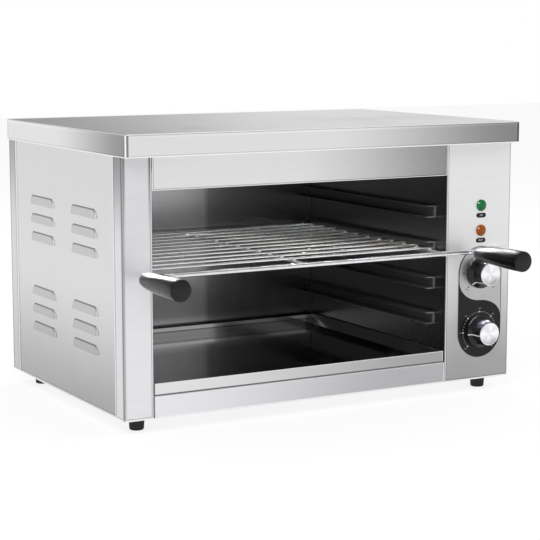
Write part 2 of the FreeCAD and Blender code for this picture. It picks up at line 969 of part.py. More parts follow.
def make_element_hangers():
    """Two folded strips under the ceiling, holed for the element legs."""
    body = new_piece("element_hangers")
    left = cavity_left + dim.hanger_left_inset
    wall = dim.hanger_sheet
    bottom = ceiling - dim.hanger_height
    start = dim.element_margin
    end = cavity_back - dim.element_margin
    profile = Outline(
        (left, bottom),
        (left + wall, bottom),
        (left + wall, ceiling - wall),
        (left + dim.hanger_flange, ceiling - wall),
        (left + dim.hanger_flange, ceiling),
        (left, ceiling),
    )
    strip = add_block(body, "Y", start, end, profile)
    hole = dim.element_radius + dim.element_fit
    legs = [Disc(y, element_z, hole) for y in element_leg_places()]
    holes = cut_block(body, "X", left, left + wall, *legs)
    repeat(body, [strip, holes], ("X", dim.hanger_span, as_size(2)))


def make_on_each_leg(label, x, *corners):
    """Turned pieces, one on the line of each element leg, from a place along X."""
    body = new_piece(label, x, zero, element_z)
    first, second = element_leg_places()[:2]
    outline = [(along, radius) for along, radius in corners]
    turned = turn_off_axis(body, first, outline)
    repeat(body, [turned], ("Y", second - first, as_size(2)), ("Y", element_pitch, as_size(3)))


def turn_off_axis(body, y, corners):
    """Turns a profile about a line along X that lies at a given Y."""
    sketch = sketch_across(body, "Y", y, [Outline(*corners)])
    turned = body.newObject("PartDesign::Revolution", "Turned")
    turned.Profile = sketch
    turned.ReferenceAxis = (sketch, ["H_Axis"])
    turned.Angle = 360
    return turned


def ring(start, end, inner, outer):
    """Profile corners of a plain ring or tube."""
    return ((start, inner), (end, inner), (end, outer), (start, outer))


def make_element_ends():
    """Collars at the wall, ceramic ends, studs and the straps that link the hairpins."""
    make_on_each_leg(
        "element_collars",
        compartment,
        *ring(zero, dim.collar_length, dim.element_radius + dim.stud_fit, dim.collar_radius),
    )
    bore = dim.stud_radius + dim.stud_fit
    make_on_each_leg(
        "element_insulators",
        element_end,
        *ring(zero, dim.insulator_length, bore, dim.insulator_radius),
    )
    make_on_each_leg(
        "element_studs", element_end, *ring(zero, dim.stud_length, zero, dim.stud_radius)
    )
    body = new_piece("element_links", element_end + dim.insulator_length, zero, element_z)
    legs = element_leg_places()
    half = dim.link_height / 2
    strap = rectangle(legs[1] - half, legs[2] + half, -half, half)
    plate = add_block(body, "X", zero, dim.link_sheet, strap)
    holes = cut_block(
        body, "X", zero, dim.link_sheet, Disc(legs[1], zero, bore), Disc(legs[2], zero, bore)
    )
    repeat(body, [plate, holes], ("Y", element_pitch, as_size(2)))


# Rack, grips and tray


def make_rack_front_bar():
    """Thick front rod, bent forward at both ends into the grips."""
    body = new_piece("rack_front_bar", zero, -dim.bar_standoff, rack_z)
    radius = dim.bar_bend
    reach = dim.grip_start + dim.bar_in_grip - dim.bar_standoff
    path = body.newObject("Sketcher::SketchObject", "Path")
    path.AttachmentSupport = [(origin_feature(body, "XY_Plane"), "")]
    path.MapMode = "FlatFace"
    left = bar_left.value
    right = bar_right.value
    bend_r = radius.value
    quarter = math.pi / 2
    up = FreeCAD.Vector(0, 0, 1)
    left_circle = Part.Circle(FreeCAD.Vector(left + bend_r, -bend_r, 0), up, bend_r)
    right_circle = Part.Circle(FreeCAD.Vector(right - bend_r, -bend_r, 0), up, bend_r)
    corners = [
        FreeCAD.Vector(left, -reach.value, 0),
        FreeCAD.Vector(left, -bend_r, 0),
        FreeCAD.Vector(left + bend_r, 0, 0),
        FreeCAD.Vector(right - bend_r, 0, 0),
        FreeCAD.Vector(right, -bend_r, 0),
        FreeCAD.Vector(right, -reach.value, 0),
    ]
    path.addGeometry(Part.LineSegment(corners[0], corners[1]), False)
    path.addGeometry(Part.ArcOfCircle(left_circle, quarter, 2 * quarter), False)
    path.addGeometry(Part.LineSegment(corners[2], corners[3]), False)
    path.addGeometry(Part.ArcOfCircle(right_circle, zero.value, quarter), False)
    path.addGeometry(Part.LineSegment(corners[4], corners[5]), False)
    path.addConstraint(Sketcher.Constraint("Tangent", 0, 2, 1, 2))
    path.addConstraint(Sketcher.Constraint("Tangent", 1, 1, 2, 1))
    path.addConstraint(Sketcher.Constraint("Tangent", 2, 2, 3, 2))
    path.addConstraint(Sketcher.Constraint("Tangent", 3, 1, 4, 1))
    path.addConstraint(Sketcher.Constraint("Equal", 1, 3))
    measure(path, "Radius", [1], radius)
    pin(path, 0, 1, bar_left, -reach)
    pin(path, 4, 2, bar_right, -reach)
    pin(path, 1, 3, bar_left + radius, -radius)
    measure(path, "DistanceX", [-1, 1, 3, 3], bar_right - radius)
    section = sketch_across(body, "Y", -reach, [Disc(bar_left, zero, dim.bar_radius)])
    sweep_along(body, section, path)


def make_rack_runner(label, x):
    """One wire from front to back under the cross wires."""
    body = new_piece(label, x, zero, rack_z)
    start = dim.bar_radius - dim.bar_standoff
    end = cavity_back - dim.rack_rear_gap + dim.rack_tail
    add_block(body, "Y", start, end, Disc(zero, zero, dim.wire_radius))


def make_rack_cross_wires():
    """Row of wires across the rack."""
    pitch = (cavity_back - dim.rack_rear_gap - dim.rack_first_wire) / (dim.rack_wire_count - 1)
    body = new_piece("rack_cross_wires", zero, dim.rack_first_wire, rack_z + 2 * dim.wire_radius)
    reach = dim.channel_sheet + dim.rack_side_gap
    wire = add_block(
        body, "X", cavity_left + reach, cavity_right - reach, Disc(zero, zero, dim.wire_radius)
    )
    repeat(body, [wire], ("Y", pitch, dim.rack_wire_count))


def make_handle_grip(label, x):
    """Tapered hand grip with a blind bore for the bar's end."""
    body = new_piece(label, x, -dim.grip_start, rack_z)
    bore = dim.bar_radius + dim.grip_bore_fit
    depth = -(dim.bar_in_grip + dim.grip_bore_end)
    turn(
        body,
        "Y",
        (zero, bore),
        (zero, dim.grip_inner_radius),
        (-dim.grip_length / 2, dim.grip_swell_radius),
        (dim.grip_nose_length - dim.grip_length, dim.grip_outer_radius),
        (-dim.grip_length, dim.grip_outer_radius - dim.grip_nose),
        (-dim.grip_length, zero),
        (depth, zero),
        (depth, bore),
    )
    round_rim(body, dim.grip_edge, "Y", zero, dim.grip_inner_radius)


def make_crumb_tray():
    """Shallow pan with an upright front and rear and sloping sides."""
    body = new_piece("crumb_tray", zero, zero, floor_top + dim.tray_lift)
    wall = dim.tray_sheet
    left = cavity_left + dim.tray_left_gap
    right = cavity_right - dim.tray_right_gap
    slope = dim.tray_side_slope
    rear = cavity_back - dim.tray_rear_gap
    high = dim.tray_height
    outside = Outline((left + slope, zero), (right - slope, zero), (right, high), (left, high))
    add_block(body, "Y", zero, rear, outside)
    inside = Outline(
        (left + slope + wall, wall),
        (right - slope - wall, wall),
        (right - wall, high),
        (left + wall, high),
    )
    cut_block(body, "Y", wall, rear - wall, inside)
    hem = rectangle(left + slope, right - slope, high - dim.tray_hem, high)
    add_block(body, "Y", rear, rear + wall, hem)
    add_block(body, "Y", zero, wall, rectangle(left, right, zero, high))


# Controls


def make_faceplate():
    """Thin stadium-shaped plate behind both knobs."""
    body = new_piece("control_faceplate", zero, -dim.plate_sheet, zero)
    plate = Slot((dial_x, dim.dial_low), (dial_x, dim.dial_high), dim.plate_radius)
    add_block(body, "Y", zero, dim.plate_sheet, plate)
    cut_block(body, "Y", zero, dim.plate_sheet, *control_holes(zero))


def make_knob_set(name, height):
    """Knob with a flared skirt and finger hollows, its metal cap and its shaft."""
    body = new_piece(name, dial_x, -dim.plate_sheet - dim.knob_gap, height)
    inner = dim.shaft_radius + dim.knob_bore_fit
    wall = dim.knob_wall
    skirt_end = -dim.knob_skirt
    turn(
        body,
        "Y",
        (zero, inner),
        (zero, dim.knob_hub_radius),
        (-dim.knob_recess, dim.knob_hub_radius),
        (-dim.knob_recess, dim.knob_radius - wall),
        (zero, dim.knob_radius - wall),
        (zero, dim.knob_radius),
        (skirt_end, dim.knob_radius),
        (skirt_end - dim.knob_slope, dim.knob_barrel_radius + dim.knob_slope / 2),
        (-dim.knob_height, dim.knob_barrel_radius),
        (-dim.knob_height, zero),
        (-dim.shaft_in_knob, zero),
        (-dim.shaft_in_knob, inner),
    )
    hollow = cut_block(
        body,
        "Y",
        -dim.knob_height,
        skirt_end - dim.knob_slope,
        Disc(zero, dim.lobe_offset, dim.lobe_radius),
    )
    repeat_round(body, [hollow], "Y", dim.lobe_count)
    cap = new_piece(f"{name}_cap", dial_x, -dim.plate_sheet - dim.knob_gap - dim.knob_height, height)
    turn(
        cap,
        "Y",
        (zero, zero),
        (zero, dim.cap_radius),
        (-dim.cap_thickness, dim.cap_radius),
        (-dim.cap_thickness, zero),
    )
    round_rim(cap, dim.cap_edge, "Y", -dim.cap_thickness, dim.cap_radius)
    shaft = new_piece(f"{name}_shaft", dial_x, zero, height)
    start = -dim.plate_sheet - dim.knob_gap - dim.shaft_in_knob
    add_block(shaft, "Y", start, dim.shaft_in_control, Disc(zero, zero, dim.shaft_radius))


def make_control(label, height, width, tall, depth):
    """Switch or thermostat block behind the panel, bored for its shaft and screws."""
    back = dim.panel_sheet
    body = new_piece(label, dial_x, back, height)
    add_block(body, "Y", zero, depth, rectangle(-width / 2, width / 2, -tall / 2, tall / 2))
    bore = Disc(zero, zero, dim.shaft_radius + dim.shaft_fit)
    cut_block(body, "Y", zero, dim.shaft_in_control, bore)
    screws = [
        Disc(side * dim.control_screw_offset, zero, dim.screw_radius + dim.screw_fit)
        for side in (-1, 1)
    ]
    cut_block(body, "Y", zero, dim.control_screw_grip, *screws)


def make_control_screws():
    """Pan-head screws that hold each control through the faceplate and the panel."""
    body = new_piece("control_screws", zero, -dim.plate_sheet, zero)
    tip = dim.plate_sheet + dim.panel_sheet + dim.control_screw_grip - dim.flat_gap
    first = (dial_x - dim.control_screw_offset, dim.dial_low)
    head = add_block(body, "Y", -dim.screw_head, zero, Disc(*first, dim.screw_head_radius))
    shank = add_block(body, "Y", zero, tip, Disc(*first, dim.screw_radius))
    repeat(
        body,
        [head, shank],
        ("X", 2 * dim.control_screw_offset, as_size(2)),
        ("Z", dim.dial_high - dim.dial_low, as_size(2)),
    )


def make_lamp(name, height):
    """Domed lens that plugs through the panel."""
    body = new_piece(f"{name}_lens", dial_x, zero, height)
    turn(
        body,
        "Y",
        (dim.lamp_stem, zero),
        (dim.lamp_stem, dim.lamp_stem_radius),
        (zero, dim.lamp_stem_radius),
        (zero, dim.lamp_radius),
        (-dim.lamp_flange, dim.lamp_radius),
        (-dim.lamp_flange - dim.lamp_dome / 2, dim.lamp_radius * 3 / 4),
        (-dim.lamp_flange - dim.lamp_dome, zero),
    )


def make_lamp_holders():
    """Round sockets behind the panel that take the lenses."""
    body = new_piece("lamp_holders", dial_x, dim.panel_sheet, dim.lamp_low)
    socket = dim.lamp_stem_radius + dim.lamp_fit
    depth = dim.lamp_stem
    holder = turn(
        body,
        "Y",
        (zero, socket),
        (zero, dim.lamp_holder_radius),
        (dim.lamp_holder_length, dim.lamp_holder_radius),
        (dim.lamp_holder_length, zero),
        (depth, zero),
        (depth, socket),
    )
    repeat(body, [holder], ("Z", dim.lamp_high - dim.lamp_low, as_size(2)))


def make_label(label, lamp_height):
    """Thin pill-shaped plate under a lamp."""
    body = new_piece(label, dial_x, -dim.label_sheet, lamp_height - dim.label_drop)
    reach = dim.label_half_length - dim.label_radius
    add_block(
        body, "Y", zero, dim.label_sheet, Slot((-reach, zero), (reach, zero), dim.label_radius)
    )


# Thermostat sensor and leads


def bulb_y():
    """Y of the sensor bulb's axis, in front of the cavity's back wall."""
    return cavity_back - dim.bulb_wall_gap


def bulb_z():
    """Height of the sensor bulb's axis."""
    return ceiling - dim.bulb_drop


def bulb_end():
    """X where the capillary leaves the bulb."""
    return cavity_right - dim.bulb_right_gap


def make_thermostat_bulb():
    """Liquid-filled bulb under the ceiling at the back."""
    body = new_piece("thermostat_bulb", bulb_end(), bulb_y(), bulb_z())
    radius = dim.bulb_radius
    nose = dim.bulb_nose
    turn(
        body,
        "X",
        (-dim.bulb_length, zero),
        (-dim.bulb_length, radius - nose),
        (nose - dim.bulb_length, radius),
        (-nose, radius),
        (zero, radius - nose),
        (zero, zero),
    )


def make_bulb_clips():
    """Clips that stand off the back wall and hold the bulb."""
    start = bulb_end() - dim.bulb_length + dim.clip_inset
    body = new_piece("bulb_clips", start, bulb_y(), bulb_z())
    outer = dim.bulb_radius + dim.clip_wall
    block = rectangle(-outer, dim.bulb_wall_gap, -outer, outer)
    clip = add_block(body, "X", zero, dim.clip_length, block)
    bore = Disc(zero, zero, dim.bulb_radius + dim.stud_fit)
    hole = cut_block(body, "X", zero, dim.clip_length, bore)
    step = dim.bulb_length - 2 * dim.clip_inset - dim.clip_length
    repeat(body, [clip, hole], ("X", step, as_size(2)))


def rounded_route(points):
    """Joins straight runs with tangent arcs, each as large as its two runs allow."""
    share = 0.45
    corners = [FreeCAD.Vector(*[as_size(value).value for value in point]) for point in points]
    edges = []
    start = corners[0]
    for before, corner, after in zip(corners, corners[1:], corners[2:]):
        arriving = (corner - before).normalize()
        leaving = (after - corner).normalize()
        shorter = min((corner - before).Length, (after - corner).Length)
        trim = share * shorter
        half_turn = arriving.getAngle(leaving) / 2
        radius = trim / math.tan(half_turn)
        bisector = (leaving - arriving).normalize()
        centre = corner + bisector * (radius / math.cos(half_turn))
        arc_start = corner - arriving * trim
        arc_end = corner + leaving * trim
        arc_middle = centre - bisector * radius
        edges.append(Part.LineSegment(start, arc_start).toShape())
        edges.append(Part.Arc(arc_start, arc_middle, arc_end).toShape())
        start = arc_end
    edges.append(Part.LineSegment(start, corners[-1]).toShape())
    return Part.Wire(edges)


def route_tube(points, radius):
    """Solid round tube along a rounded route, with its volume compared with its length."""
    path = rounded_route(points)
    first = path.Edges[0]
    heading = first.tangentAt(first.FirstParameter)
    section = Part.Wire(Part.makeCircle(radius.value, path.Vertexes[0].Point, heading))
    tube = path.makePipeShell([section], True, True)
    expected = math.pi * radius.value**2 * path.Length
    if abs(tube.Volume - expected) > 0.01 * expected:
        raise RuntimeError("a tube's volume is off its length")
    return tube


def new_routed_piece(label, tubes):
    """Adds bent tubes as one sub-part."""
    piece = document.addObject("Part::Feature", label)
    piece.Label = label
    piece.Shape = tubes[0] if len(tubes) == 1 else Part.makeCompound(tubes)
    place(piece, zero, zero, zero)
    pieces.append(piece)


def wander(start, end, bends):
    """Points on the way from start to end, each (share of the way, aside along X, up)."""
    points = [start]
    for share, aside, lift in bends:
        x, y, z = (near + (far - near) * share for near, far in zip(start, end))
        points.append((x + aside, y, z + lift))
    points.append(end)
    return points


def make_capillary():
    """Thin tube from the bulb, through the right wall, down to the thermostat."""
    top = bulb_z()
    y = bulb_y()
    back = dim.panel_sheet + dim.thermostat_depth
    bends = (
        (0.12, 8, -2),
        (0.25, 5, 5),
        (0.38, 12, -3),
        (0.51, 6, 4),
        (0.64, 10, -4),
        (0.77, 2, 3),
        (0.89, 4, -6),
    )
    start = (compartment + dim.capillary_inlet, y, top)
    end = (dial_x, back + dim.lead_run, dim.dial_low)
    points = [(bulb_end(), y, top), *wander(start, end, bends), (dial_x, back, dim.dial_low)]
    new_routed_piece("thermostat_capillary", [route_tube(points, dim.capillary_radius)])


def make_element_leads():
    """Two heat-proof leads from the switch to the outer element studs."""
    legs = element_leg_places()
    stud = element_end + dim.stud_length
    back = dim.panel_sheet + dim.switch_depth
    level = dim.dial_high + dim.lead_rise
    turn_in = stud + dim.lead_stud_run
    routes = []
    for x, leg, bends in (
        (dial_x + dim.lead_aside, legs[0], ((0.27, 6, 3), (0.52, 9, -2), (0.78, 14, 2))),
        (
            dial_x - dim.lead_aside,
            legs[5],
            ((0.16, 2, 5), (0.33, 8, -4), (0.5, 3, 4), (0.67, 9, -5), (0.85, 12, -8)),
        ),
    ):
        way = wander((x, back + dim.lead_run, level), (turn_in, leg, element_z), bends)
        routes.append([(x, back, level), *way, (stud, leg, element_z)])
    new_routed_piece("element_leads", [route_tube(route, dim.lead_radius) for route in routes])


def make_control_leads():
    """Leads from the terminal block to the switch and lamps, and on to the thermostat."""
    block_front = body_rear - dim.terminal_rear_gap - dim.terminal_length
    block_x = body_right - dim.terminal_inset
    level = base_top + dim.terminal_height / 2
    switch_back = dim.panel_sheet + dim.switch_depth
    thermostat_back = dim.panel_sheet + dim.thermostat_depth
    lamp_back = dim.panel_sheet + dim.lamp_holder_length
    below_shaft = dim.dial_high - dim.lead_rise
    above_shaft = dim.dial_low + dim.lead_rise
    routes = []
    for x, y, back, z, bends in (
        (
            -dim.terminal_pitch,
            dial_x - dim.lead_aside,
            switch_back,
            below_shaft,
            ((0.19, -9, -4), (0.39, -6, 5), (0.6, -10, -3), (0.8, -3, 5)),
        ),
        (
            dim.terminal_pitch,
            dial_x + dim.lamp_lead_aside,
            lamp_back,
            dim.lamp_low,
            ((0.16, 12, -5), (0.33, 22, 4), (0.5, 26, -4), (0.67, 22, 6), (0.84, 10, 2)),
        ),
    ):
        start = (block_x + x, block_front, level)
        run = dim.lead_block_run
        way = wander((start[0], block_front - run, level), (y, back + run, z), bends)
        routes.append([start, *way, (y, back, z)])
    x = dial_x - dim.lamp_lead_aside
    lamp_run = lamp_back + dim.lamp_lead_run
    routes.append(
        [
            (x, lamp_back, dim.lamp_low),
            (x, lamp_run, dim.lamp_low),
            (x, lamp_run, dim.lamp_high),
            (x, lamp_back, dim.lamp_high),
        ]
    )
    x = dial_x + dim.lead_aside
    loop = switch_back + dim.lead_loop
    bow = (x + dim.lead_loop_shift, loop + dim.lead_loop_bow, (below_shaft + above_shaft) / 2)
    routes.append(
        [
            (x, switch_back, below_shaft),
            (x, loop, below_shaft),
            bow,
            (x, thermostat_back + dim.lead_loop, above_shaft),
            (x, thermostat_back, above_shaft),
        ]
    )
    new_routed_piece("control_leads", [route_tube(route, dim.lead_radius) for route in routes])


# Supply side


def make_cable_gland():
    """Gland in the rear panel: thread, flange, tapered nut and bore, with its locknut inside."""
    body = new_piece("cable_gland", gland_x, body_rear, dim.gland_height)
    bore = dim.gland_bore_radius
    flange = dim.gland_flange
    turn(
        body,
        "Y",
        (-dim.gland_thread, bore),
        (-dim.gland_thread, dim.gland_thread_radius),
        (zero, dim.gland_thread_radius),
        (zero, dim.gland_flange_radius),
        (flange, dim.gland_flange_radius),
        (flange + dim.gland_nut_length / 2, dim.gland_flange_radius - dim.gland_taper),
        (flange + dim.gland_nut_length, dim.gland_nose_radius),
        (flange + dim.gland_nut_length, bore),
    )
    nut = new_piece("gland_locknut", gland_x, body_rear - dim.panel_sheet, dim.gland_height)
    inner = dim.gland_thread_radius + dim.stud_fit
    turn(nut, "Y", *ring(-dim.locknut_thickness, zero, inner, dim.gland_flange_radius))


def make_terminal_block():
    """Terminal block on the base plate behind the controls."""
    x = body_right - dim.terminal_inset
    front = body_rear - dim.terminal_rear_gap - dim.terminal_length
    body = new_piece("terminal_block", x, front, base_top)
    half = dim.terminal_width / 2
    add_block(
        body, "Z", zero, dim.terminal_height, rectangle(-half, half, zero, dim.terminal_length)
    )
    level = dim.terminal_height / 2
    x0 = -dim.terminal_pitch * (dim.terminal_poles - 1) / 2
    depth = dim.terminal_length / 3
    hole = Disc(x0, level, dim.terminal_hole_radius)
    entry = cut_block(body, "Y", dim.terminal_length - depth, dim.terminal_length, hole)
    repeat(body, [entry], ("X", dim.terminal_pitch, dim.terminal_poles))


# Feet and fasteners


def make_feet():
    """Tapered rubber feet with a recess for the screw head."""
    x = body_left + dim.foot_side_inset
    y = dim.foot_front_inset
    body = new_piece("rubber_feet", x, y, zero)
    bottom = -dim.foot_height
    hole = dim.foot_screw_radius + dim.foot_screw_fit
    foot = turn(
        body,
        "Z",
        (zero, hole),
        (zero, dim.foot_top_radius),
        (bottom + dim.foot_edge, dim.foot_base_radius),
        (bottom, dim.foot_base_radius - dim.foot_edge),
        (bottom, dim.foot_recess_radius),
        (bottom + dim.foot_recess, dim.foot_recess_radius),
        (bottom + dim.foot_recess, hole),
    )
    repeat(body, [foot], *foot_rows())
    screws = new_piece("foot_screws", x, y, zero)
    seat = bottom + dim.foot_recess
    head = seat - dim.foot_screw_head
    tip = base_top + dim.foot_nut + dim.foot_screw_tail
    screw = turn(
        screws,
        "Z",
        (head, zero),
        (head, dim.foot_screw_head_radius),
        (seat, dim.foot_screw_head_radius),
        (seat, dim.foot_screw_radius),
        (tip, dim.foot_screw_radius),
        (tip, zero),
    )
    repeat(screws, [screw], *foot_rows())
    nuts = new_piece("foot_nuts", x, y, base_top)
    inner = dim.foot_screw_radius + dim.stud_fit
    nut = turn(nuts, "Z", *ring(zero, dim.foot_nut, inner, dim.foot_nut_radius))
    repeat(nuts, [nut], *foot_rows())


def make_cover_screws():
    """Screws through the rear skirt into the rear panel."""
    body = new_piece("cover_screws", -dim.cover_screw_span / 2, cover_back, cover_screw_z())
    screw = turn(
        body,
        "Y",
        (dim.screw_head, zero),
        (dim.screw_head, dim.screw_head_radius),
        (zero, dim.screw_head_radius),
        (zero, dim.screw_radius),
        (-dim.cover_screw_length, dim.screw_radius),
        (-dim.cover_screw_length, zero),
    )
    repeat(body, [screw], cover_screw_row())


def build():
    """Makes every sub-part."""
    make_top_cover()
    make_front_left_post()
    make_control_panel()
    make_fascia()
    make_lower_front_rail()
    make_base_plate()
    make_side_panel("left_side_panel", body_left + dim.panel_sheet, 1)
    make_side_panel("right_side_panel", body_right - dim.panel_sheet, -1)
    make_rear_panel()
    make_liner_wall("left_liner_wall", cavity_left, -1)
    make_right_liner_wall()
    make_rear_liner_wall()
    make_ceiling()
    make_cavity_floor()
    make_rack_rails("left_rack_rails", cavity_left, 1)
    make_rack_rails("right_rack_rails", cavity_right, -1)
    make_blanket()
    for index, name in enumerate(("front", "middle", "rear")):
        make_element(f"{name}_heating_element", index)
    make_element_hangers()
    make_element_ends()
    make_rack_front_bar()
    make_rack_runner("rack_left_wire", cavity_left + dim.rack_runner_inset)
    make_rack_runner("rack_middle_wire", (cavity_left + cavity_right) / 2 - dim.rack_middle_offset)
    make_rack_runner("rack_right_wire", cavity_right - dim.rack_runner_inset)
    make_rack_cross_wires()
    make_handle_grip("left_handle_grip", bar_left)
    make_handle_grip("right_handle_grip", bar_right)
    make_crumb_tray()
    make_faceplate()
    make_knob_set("power_knob", dim.dial_high)
    make_knob_set("temperature_knob", dim.dial_low)
    switch = dim.switch_width
    make_control("power_switch", dim.dial_high, switch, switch, dim.switch_depth)
    make_control(
        "thermostat",
        dim.dial_low,
        dim.thermostat_width,
        dim.thermostat_height,
        dim.thermostat_depth,
    )
    make_control_screws()
    make_lamp("power_lamp", dim.lamp_high)
    make_lamp("heat_lamp", dim.lamp_low)
    make_lamp_holders()
    make_label("power_label", dim.lamp_high)
    make_label("heat_label", dim.lamp_low)
    make_thermostat_bulb()
    make_bulb_clips()
    make_capillary()
    make_element_leads()
    make_control_leads()
    make_cable_gland()
    make_terminal_block()
    make_feet()
    make_cover_screws()
    document.recompute()


def check_and_export():
    """Refuses a failed feature or a bad solid, then writes each sub-part to its own file."""
    for item in document.Objects:
        if "Invalid" in item.State or "Error" in item.State:
            raise RuntimeError(f"{item.Label}: {item.State}")
    for piece in pieces:
        if piece.Shape.isNull() or not piece.Shape.isValid() or not piece.Shape.Solids:
            raise RuntimeError(f"{piece.Label}: no valid solid")
    os.makedirs("parts", exist_ok=True)
    for piece in pieces:
        piece.Shape.exportStep(f"parts/{piece.Label}.step")
        box = piece.Shape.BoundBox
        size = f"{box.XLength:.1f} x {box.YLength:.1f} x {box.ZLength:.1f}"
        print(f"{piece.Label}: {len(piece.Shape.Solids)} solids, {size} mm")


build()
check_and_export()
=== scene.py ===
"""Dresses the salamander grill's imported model.

It gives each piece its finish, makes finer knobs, grips, lamps, dials, louvres and feet,
and sets up the studio.
"""

import logging
import math
from dataclasses import dataclass, field
from enum import Enum
from typing import Iterable, Optional, Sequence

import bmesh
import bpy
from mathutils import Matrix, Vector


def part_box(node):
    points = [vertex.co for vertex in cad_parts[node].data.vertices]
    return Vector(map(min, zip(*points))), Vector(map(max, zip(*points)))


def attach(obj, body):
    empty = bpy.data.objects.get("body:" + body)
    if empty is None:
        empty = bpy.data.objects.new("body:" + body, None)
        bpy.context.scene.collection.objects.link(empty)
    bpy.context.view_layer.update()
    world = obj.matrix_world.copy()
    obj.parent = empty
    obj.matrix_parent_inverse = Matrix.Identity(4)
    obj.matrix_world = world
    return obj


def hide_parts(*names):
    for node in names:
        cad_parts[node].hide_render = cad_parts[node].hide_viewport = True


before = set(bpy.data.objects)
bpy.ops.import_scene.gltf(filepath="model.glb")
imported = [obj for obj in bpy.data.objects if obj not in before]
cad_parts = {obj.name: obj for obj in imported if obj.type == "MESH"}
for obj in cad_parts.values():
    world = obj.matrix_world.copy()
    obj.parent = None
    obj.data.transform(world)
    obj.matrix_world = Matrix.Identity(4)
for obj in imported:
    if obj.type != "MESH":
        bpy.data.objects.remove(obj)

LOG = logging.getLogger("salamander_grill")
FULL_TURN = 2.0 * math.pi
QUARTER_TURN = math.radians(90.0)
ARC_HANDLE = 0.5523
MM = 0.001
FORWARD = Vector((0.0, -1.0, 0.0))
BACKWARD = Vector((0.0, 1.0, 0.0))
UPWARD = Vector((0.0, 0.0, 1.0))
WHITE = (1.0, 1.0, 1.0, 1.0)

Triple = tuple[float, float, float]
Pair = tuple[float, float]
Socket = bpy.types.NodeSocket


class Axis(Enum):
    """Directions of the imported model."""

    X = 0
    Y = 1
    Z = 2


class Face(Enum):
    """Faces of a folded sheet piece that a fade may follow."""

    FRONT = "Front"
    SIDE = "Side"
    TOP = "Top"
    REAR = "Rear"


class Body(Enum):
    """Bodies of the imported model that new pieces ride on."""

    CABINET = "cabinet"
    RACK = "rack"
    POWER_KNOB = "power_knob"
    TEMPERATURE_KNOB = "temperature_knob"


class Gloss(Enum):
    """Groups of pieces that show lamp panels of their own."""

    WIRES = "bright_wires"
    GRIPS = "black_grips"
    LENSES = "tinted_lenses"


class Board:
    """Wires the nodes of one material, group or world."""

    def __init__(self, tree: bpy.types.NodeTree) -> None:
        """Starts on an empty tree.

        Args:
            tree: The node tree to fill.
        """
        self.tree = tree

    def put(self, kind: str, values: Optional[dict] = None, **options: object) -> bpy.types.Node:
        """Adds a shader node.

        Args:
            kind: The node's type without its ShaderNode prefix.
            values: Inputs by name or number, each a value or a socket to link.
            options: The node's own settings.

        Returns:
            The new node.
        """
        node = self.tree.nodes.new("ShaderNode" + kind)
        for name, option in options.items():
            setattr(node, name, option)
        for key, value in (values or {}).items():
            self.feed(node.inputs[key], value)
        return node

    def feed(self, socket: Socket, value: object) -> None:
        """Links a socket's source, or sets its own value.

        Args:
            socket: The input.
            value: Another socket, or a plain value.
        """
        if isinstance(value, bpy.types.NodeSocket):
            self.tree.links.new(value, socket)
        else:
            socket.default_value = value

    def calc(self, operation: str, first: object, second: object = 0.0) -> Socket:
        """Returns the result of a Math node on one or two values."""
        return self.put("Math", {0: first, 1: second}, operation=operation).outputs[0]

    def span(
        self,
        value: object,
        low: object,
        high: object,
        start: float = 0.0,
        end: float = 1.0,
    ) -> Socket:
        """Maps a value smoothly from one range to another.

        Args:
            value: The value to map.
            low: Where the range starts.
            high: Where the range ends.
            start: Result at low.
            end: Result at high.

        Returns:
            The mapped value.
        """
        names = ("Value", "From Min", "From Max", "To Min", "To Max")
        values = dict(zip(names, (value, low, high, start, end)))
        return self.put("MapRange", values, interpolation_type="SMOOTHSTEP").outputs["Result"]

    def vary(self, share: object, first: object, second: object) -> Socket:
        """Returns a number between two numbers."""
        return self.put("Mix", {0: share, 2: first, 3: second}, data_type="FLOAT").outputs[0]

    def tint(self, share: object, first: object, second: object, way: str = "MIX") -> Socket:
        """Returns a colour between two colours.

        Args:
            share: Weight of the second colour.
            first: First colour.
            second: Second colour.
            way: Blend type of the Mix node.

        Returns:
            The mixed colour.
        """
        values = {0: share, 6: first, 7: second}
        return self.put("Mix", values, data_type="RGBA", blend_type=way).outputs[2]

    def shade(self, colour: object, tone: Socket) -> Socket:
        """Returns a colour made lighter or darker by a tone."""
        grey = self.put("CombineColor", {0: tone, 1: tone, 2: tone}).outputs[0]
        return self.tint(1.0, colour, grey, "MULTIPLY")

    def inverse(self, mask: Socket) -> Socket:
        """Returns a mask turned round."""
        return self.calc("SUBTRACT", 1.0, mask)

    def noise(self, vector: Socket, scale: object, detail: float = 2.0) -> Socket:
        """Returns a noise value from 0 to 1.

        Args:
            vector: Where to read the noise.
            scale: Its scale, in waves per metre, or a socket with it.
            detail: Its octaves.

        Returns:
            The noise.
        """
        values = {"Vector": vector, "Scale": scale, "Detail": detail}
        return self.put("TexNoise", values).outputs["Fac"]

    def stretch(self, vector: Socket, scale: Triple, shift: Triple = (0.0, 0.0, 0.0)) -> Socket:
        """Returns a position, scaled and moved."""
        values = {"Vector": vector, "Location": shift, "Scale": scale}
        return self.put("Mapping", values).outputs["Vector"]

    def parts(self, vector: Socket) -> list[Socket]:
        """Returns the three parts of a position."""
        return list(self.put("SeparateXYZ", {0: vector}).outputs)

    def place(self) -> Socket:
        """Returns the object coordinates."""
        return self.put("TexCoord").outputs["Object"]

    def use(self, group: bpy.types.NodeTree, **values: object) -> bpy.types.bpy_prop_collection:
        """Places a shared group.

        Args:
            group: The group.
            values: Its inputs, with underscores for spaces.

        Returns:
            The group node's outputs.
        """
        node = self.tree.nodes.new("ShaderNodeGroup")
        node.node_tree = group
        for name, value in values.items():
            self.feed(node.inputs[name.replace("_", " ")], value)
        return node.outputs


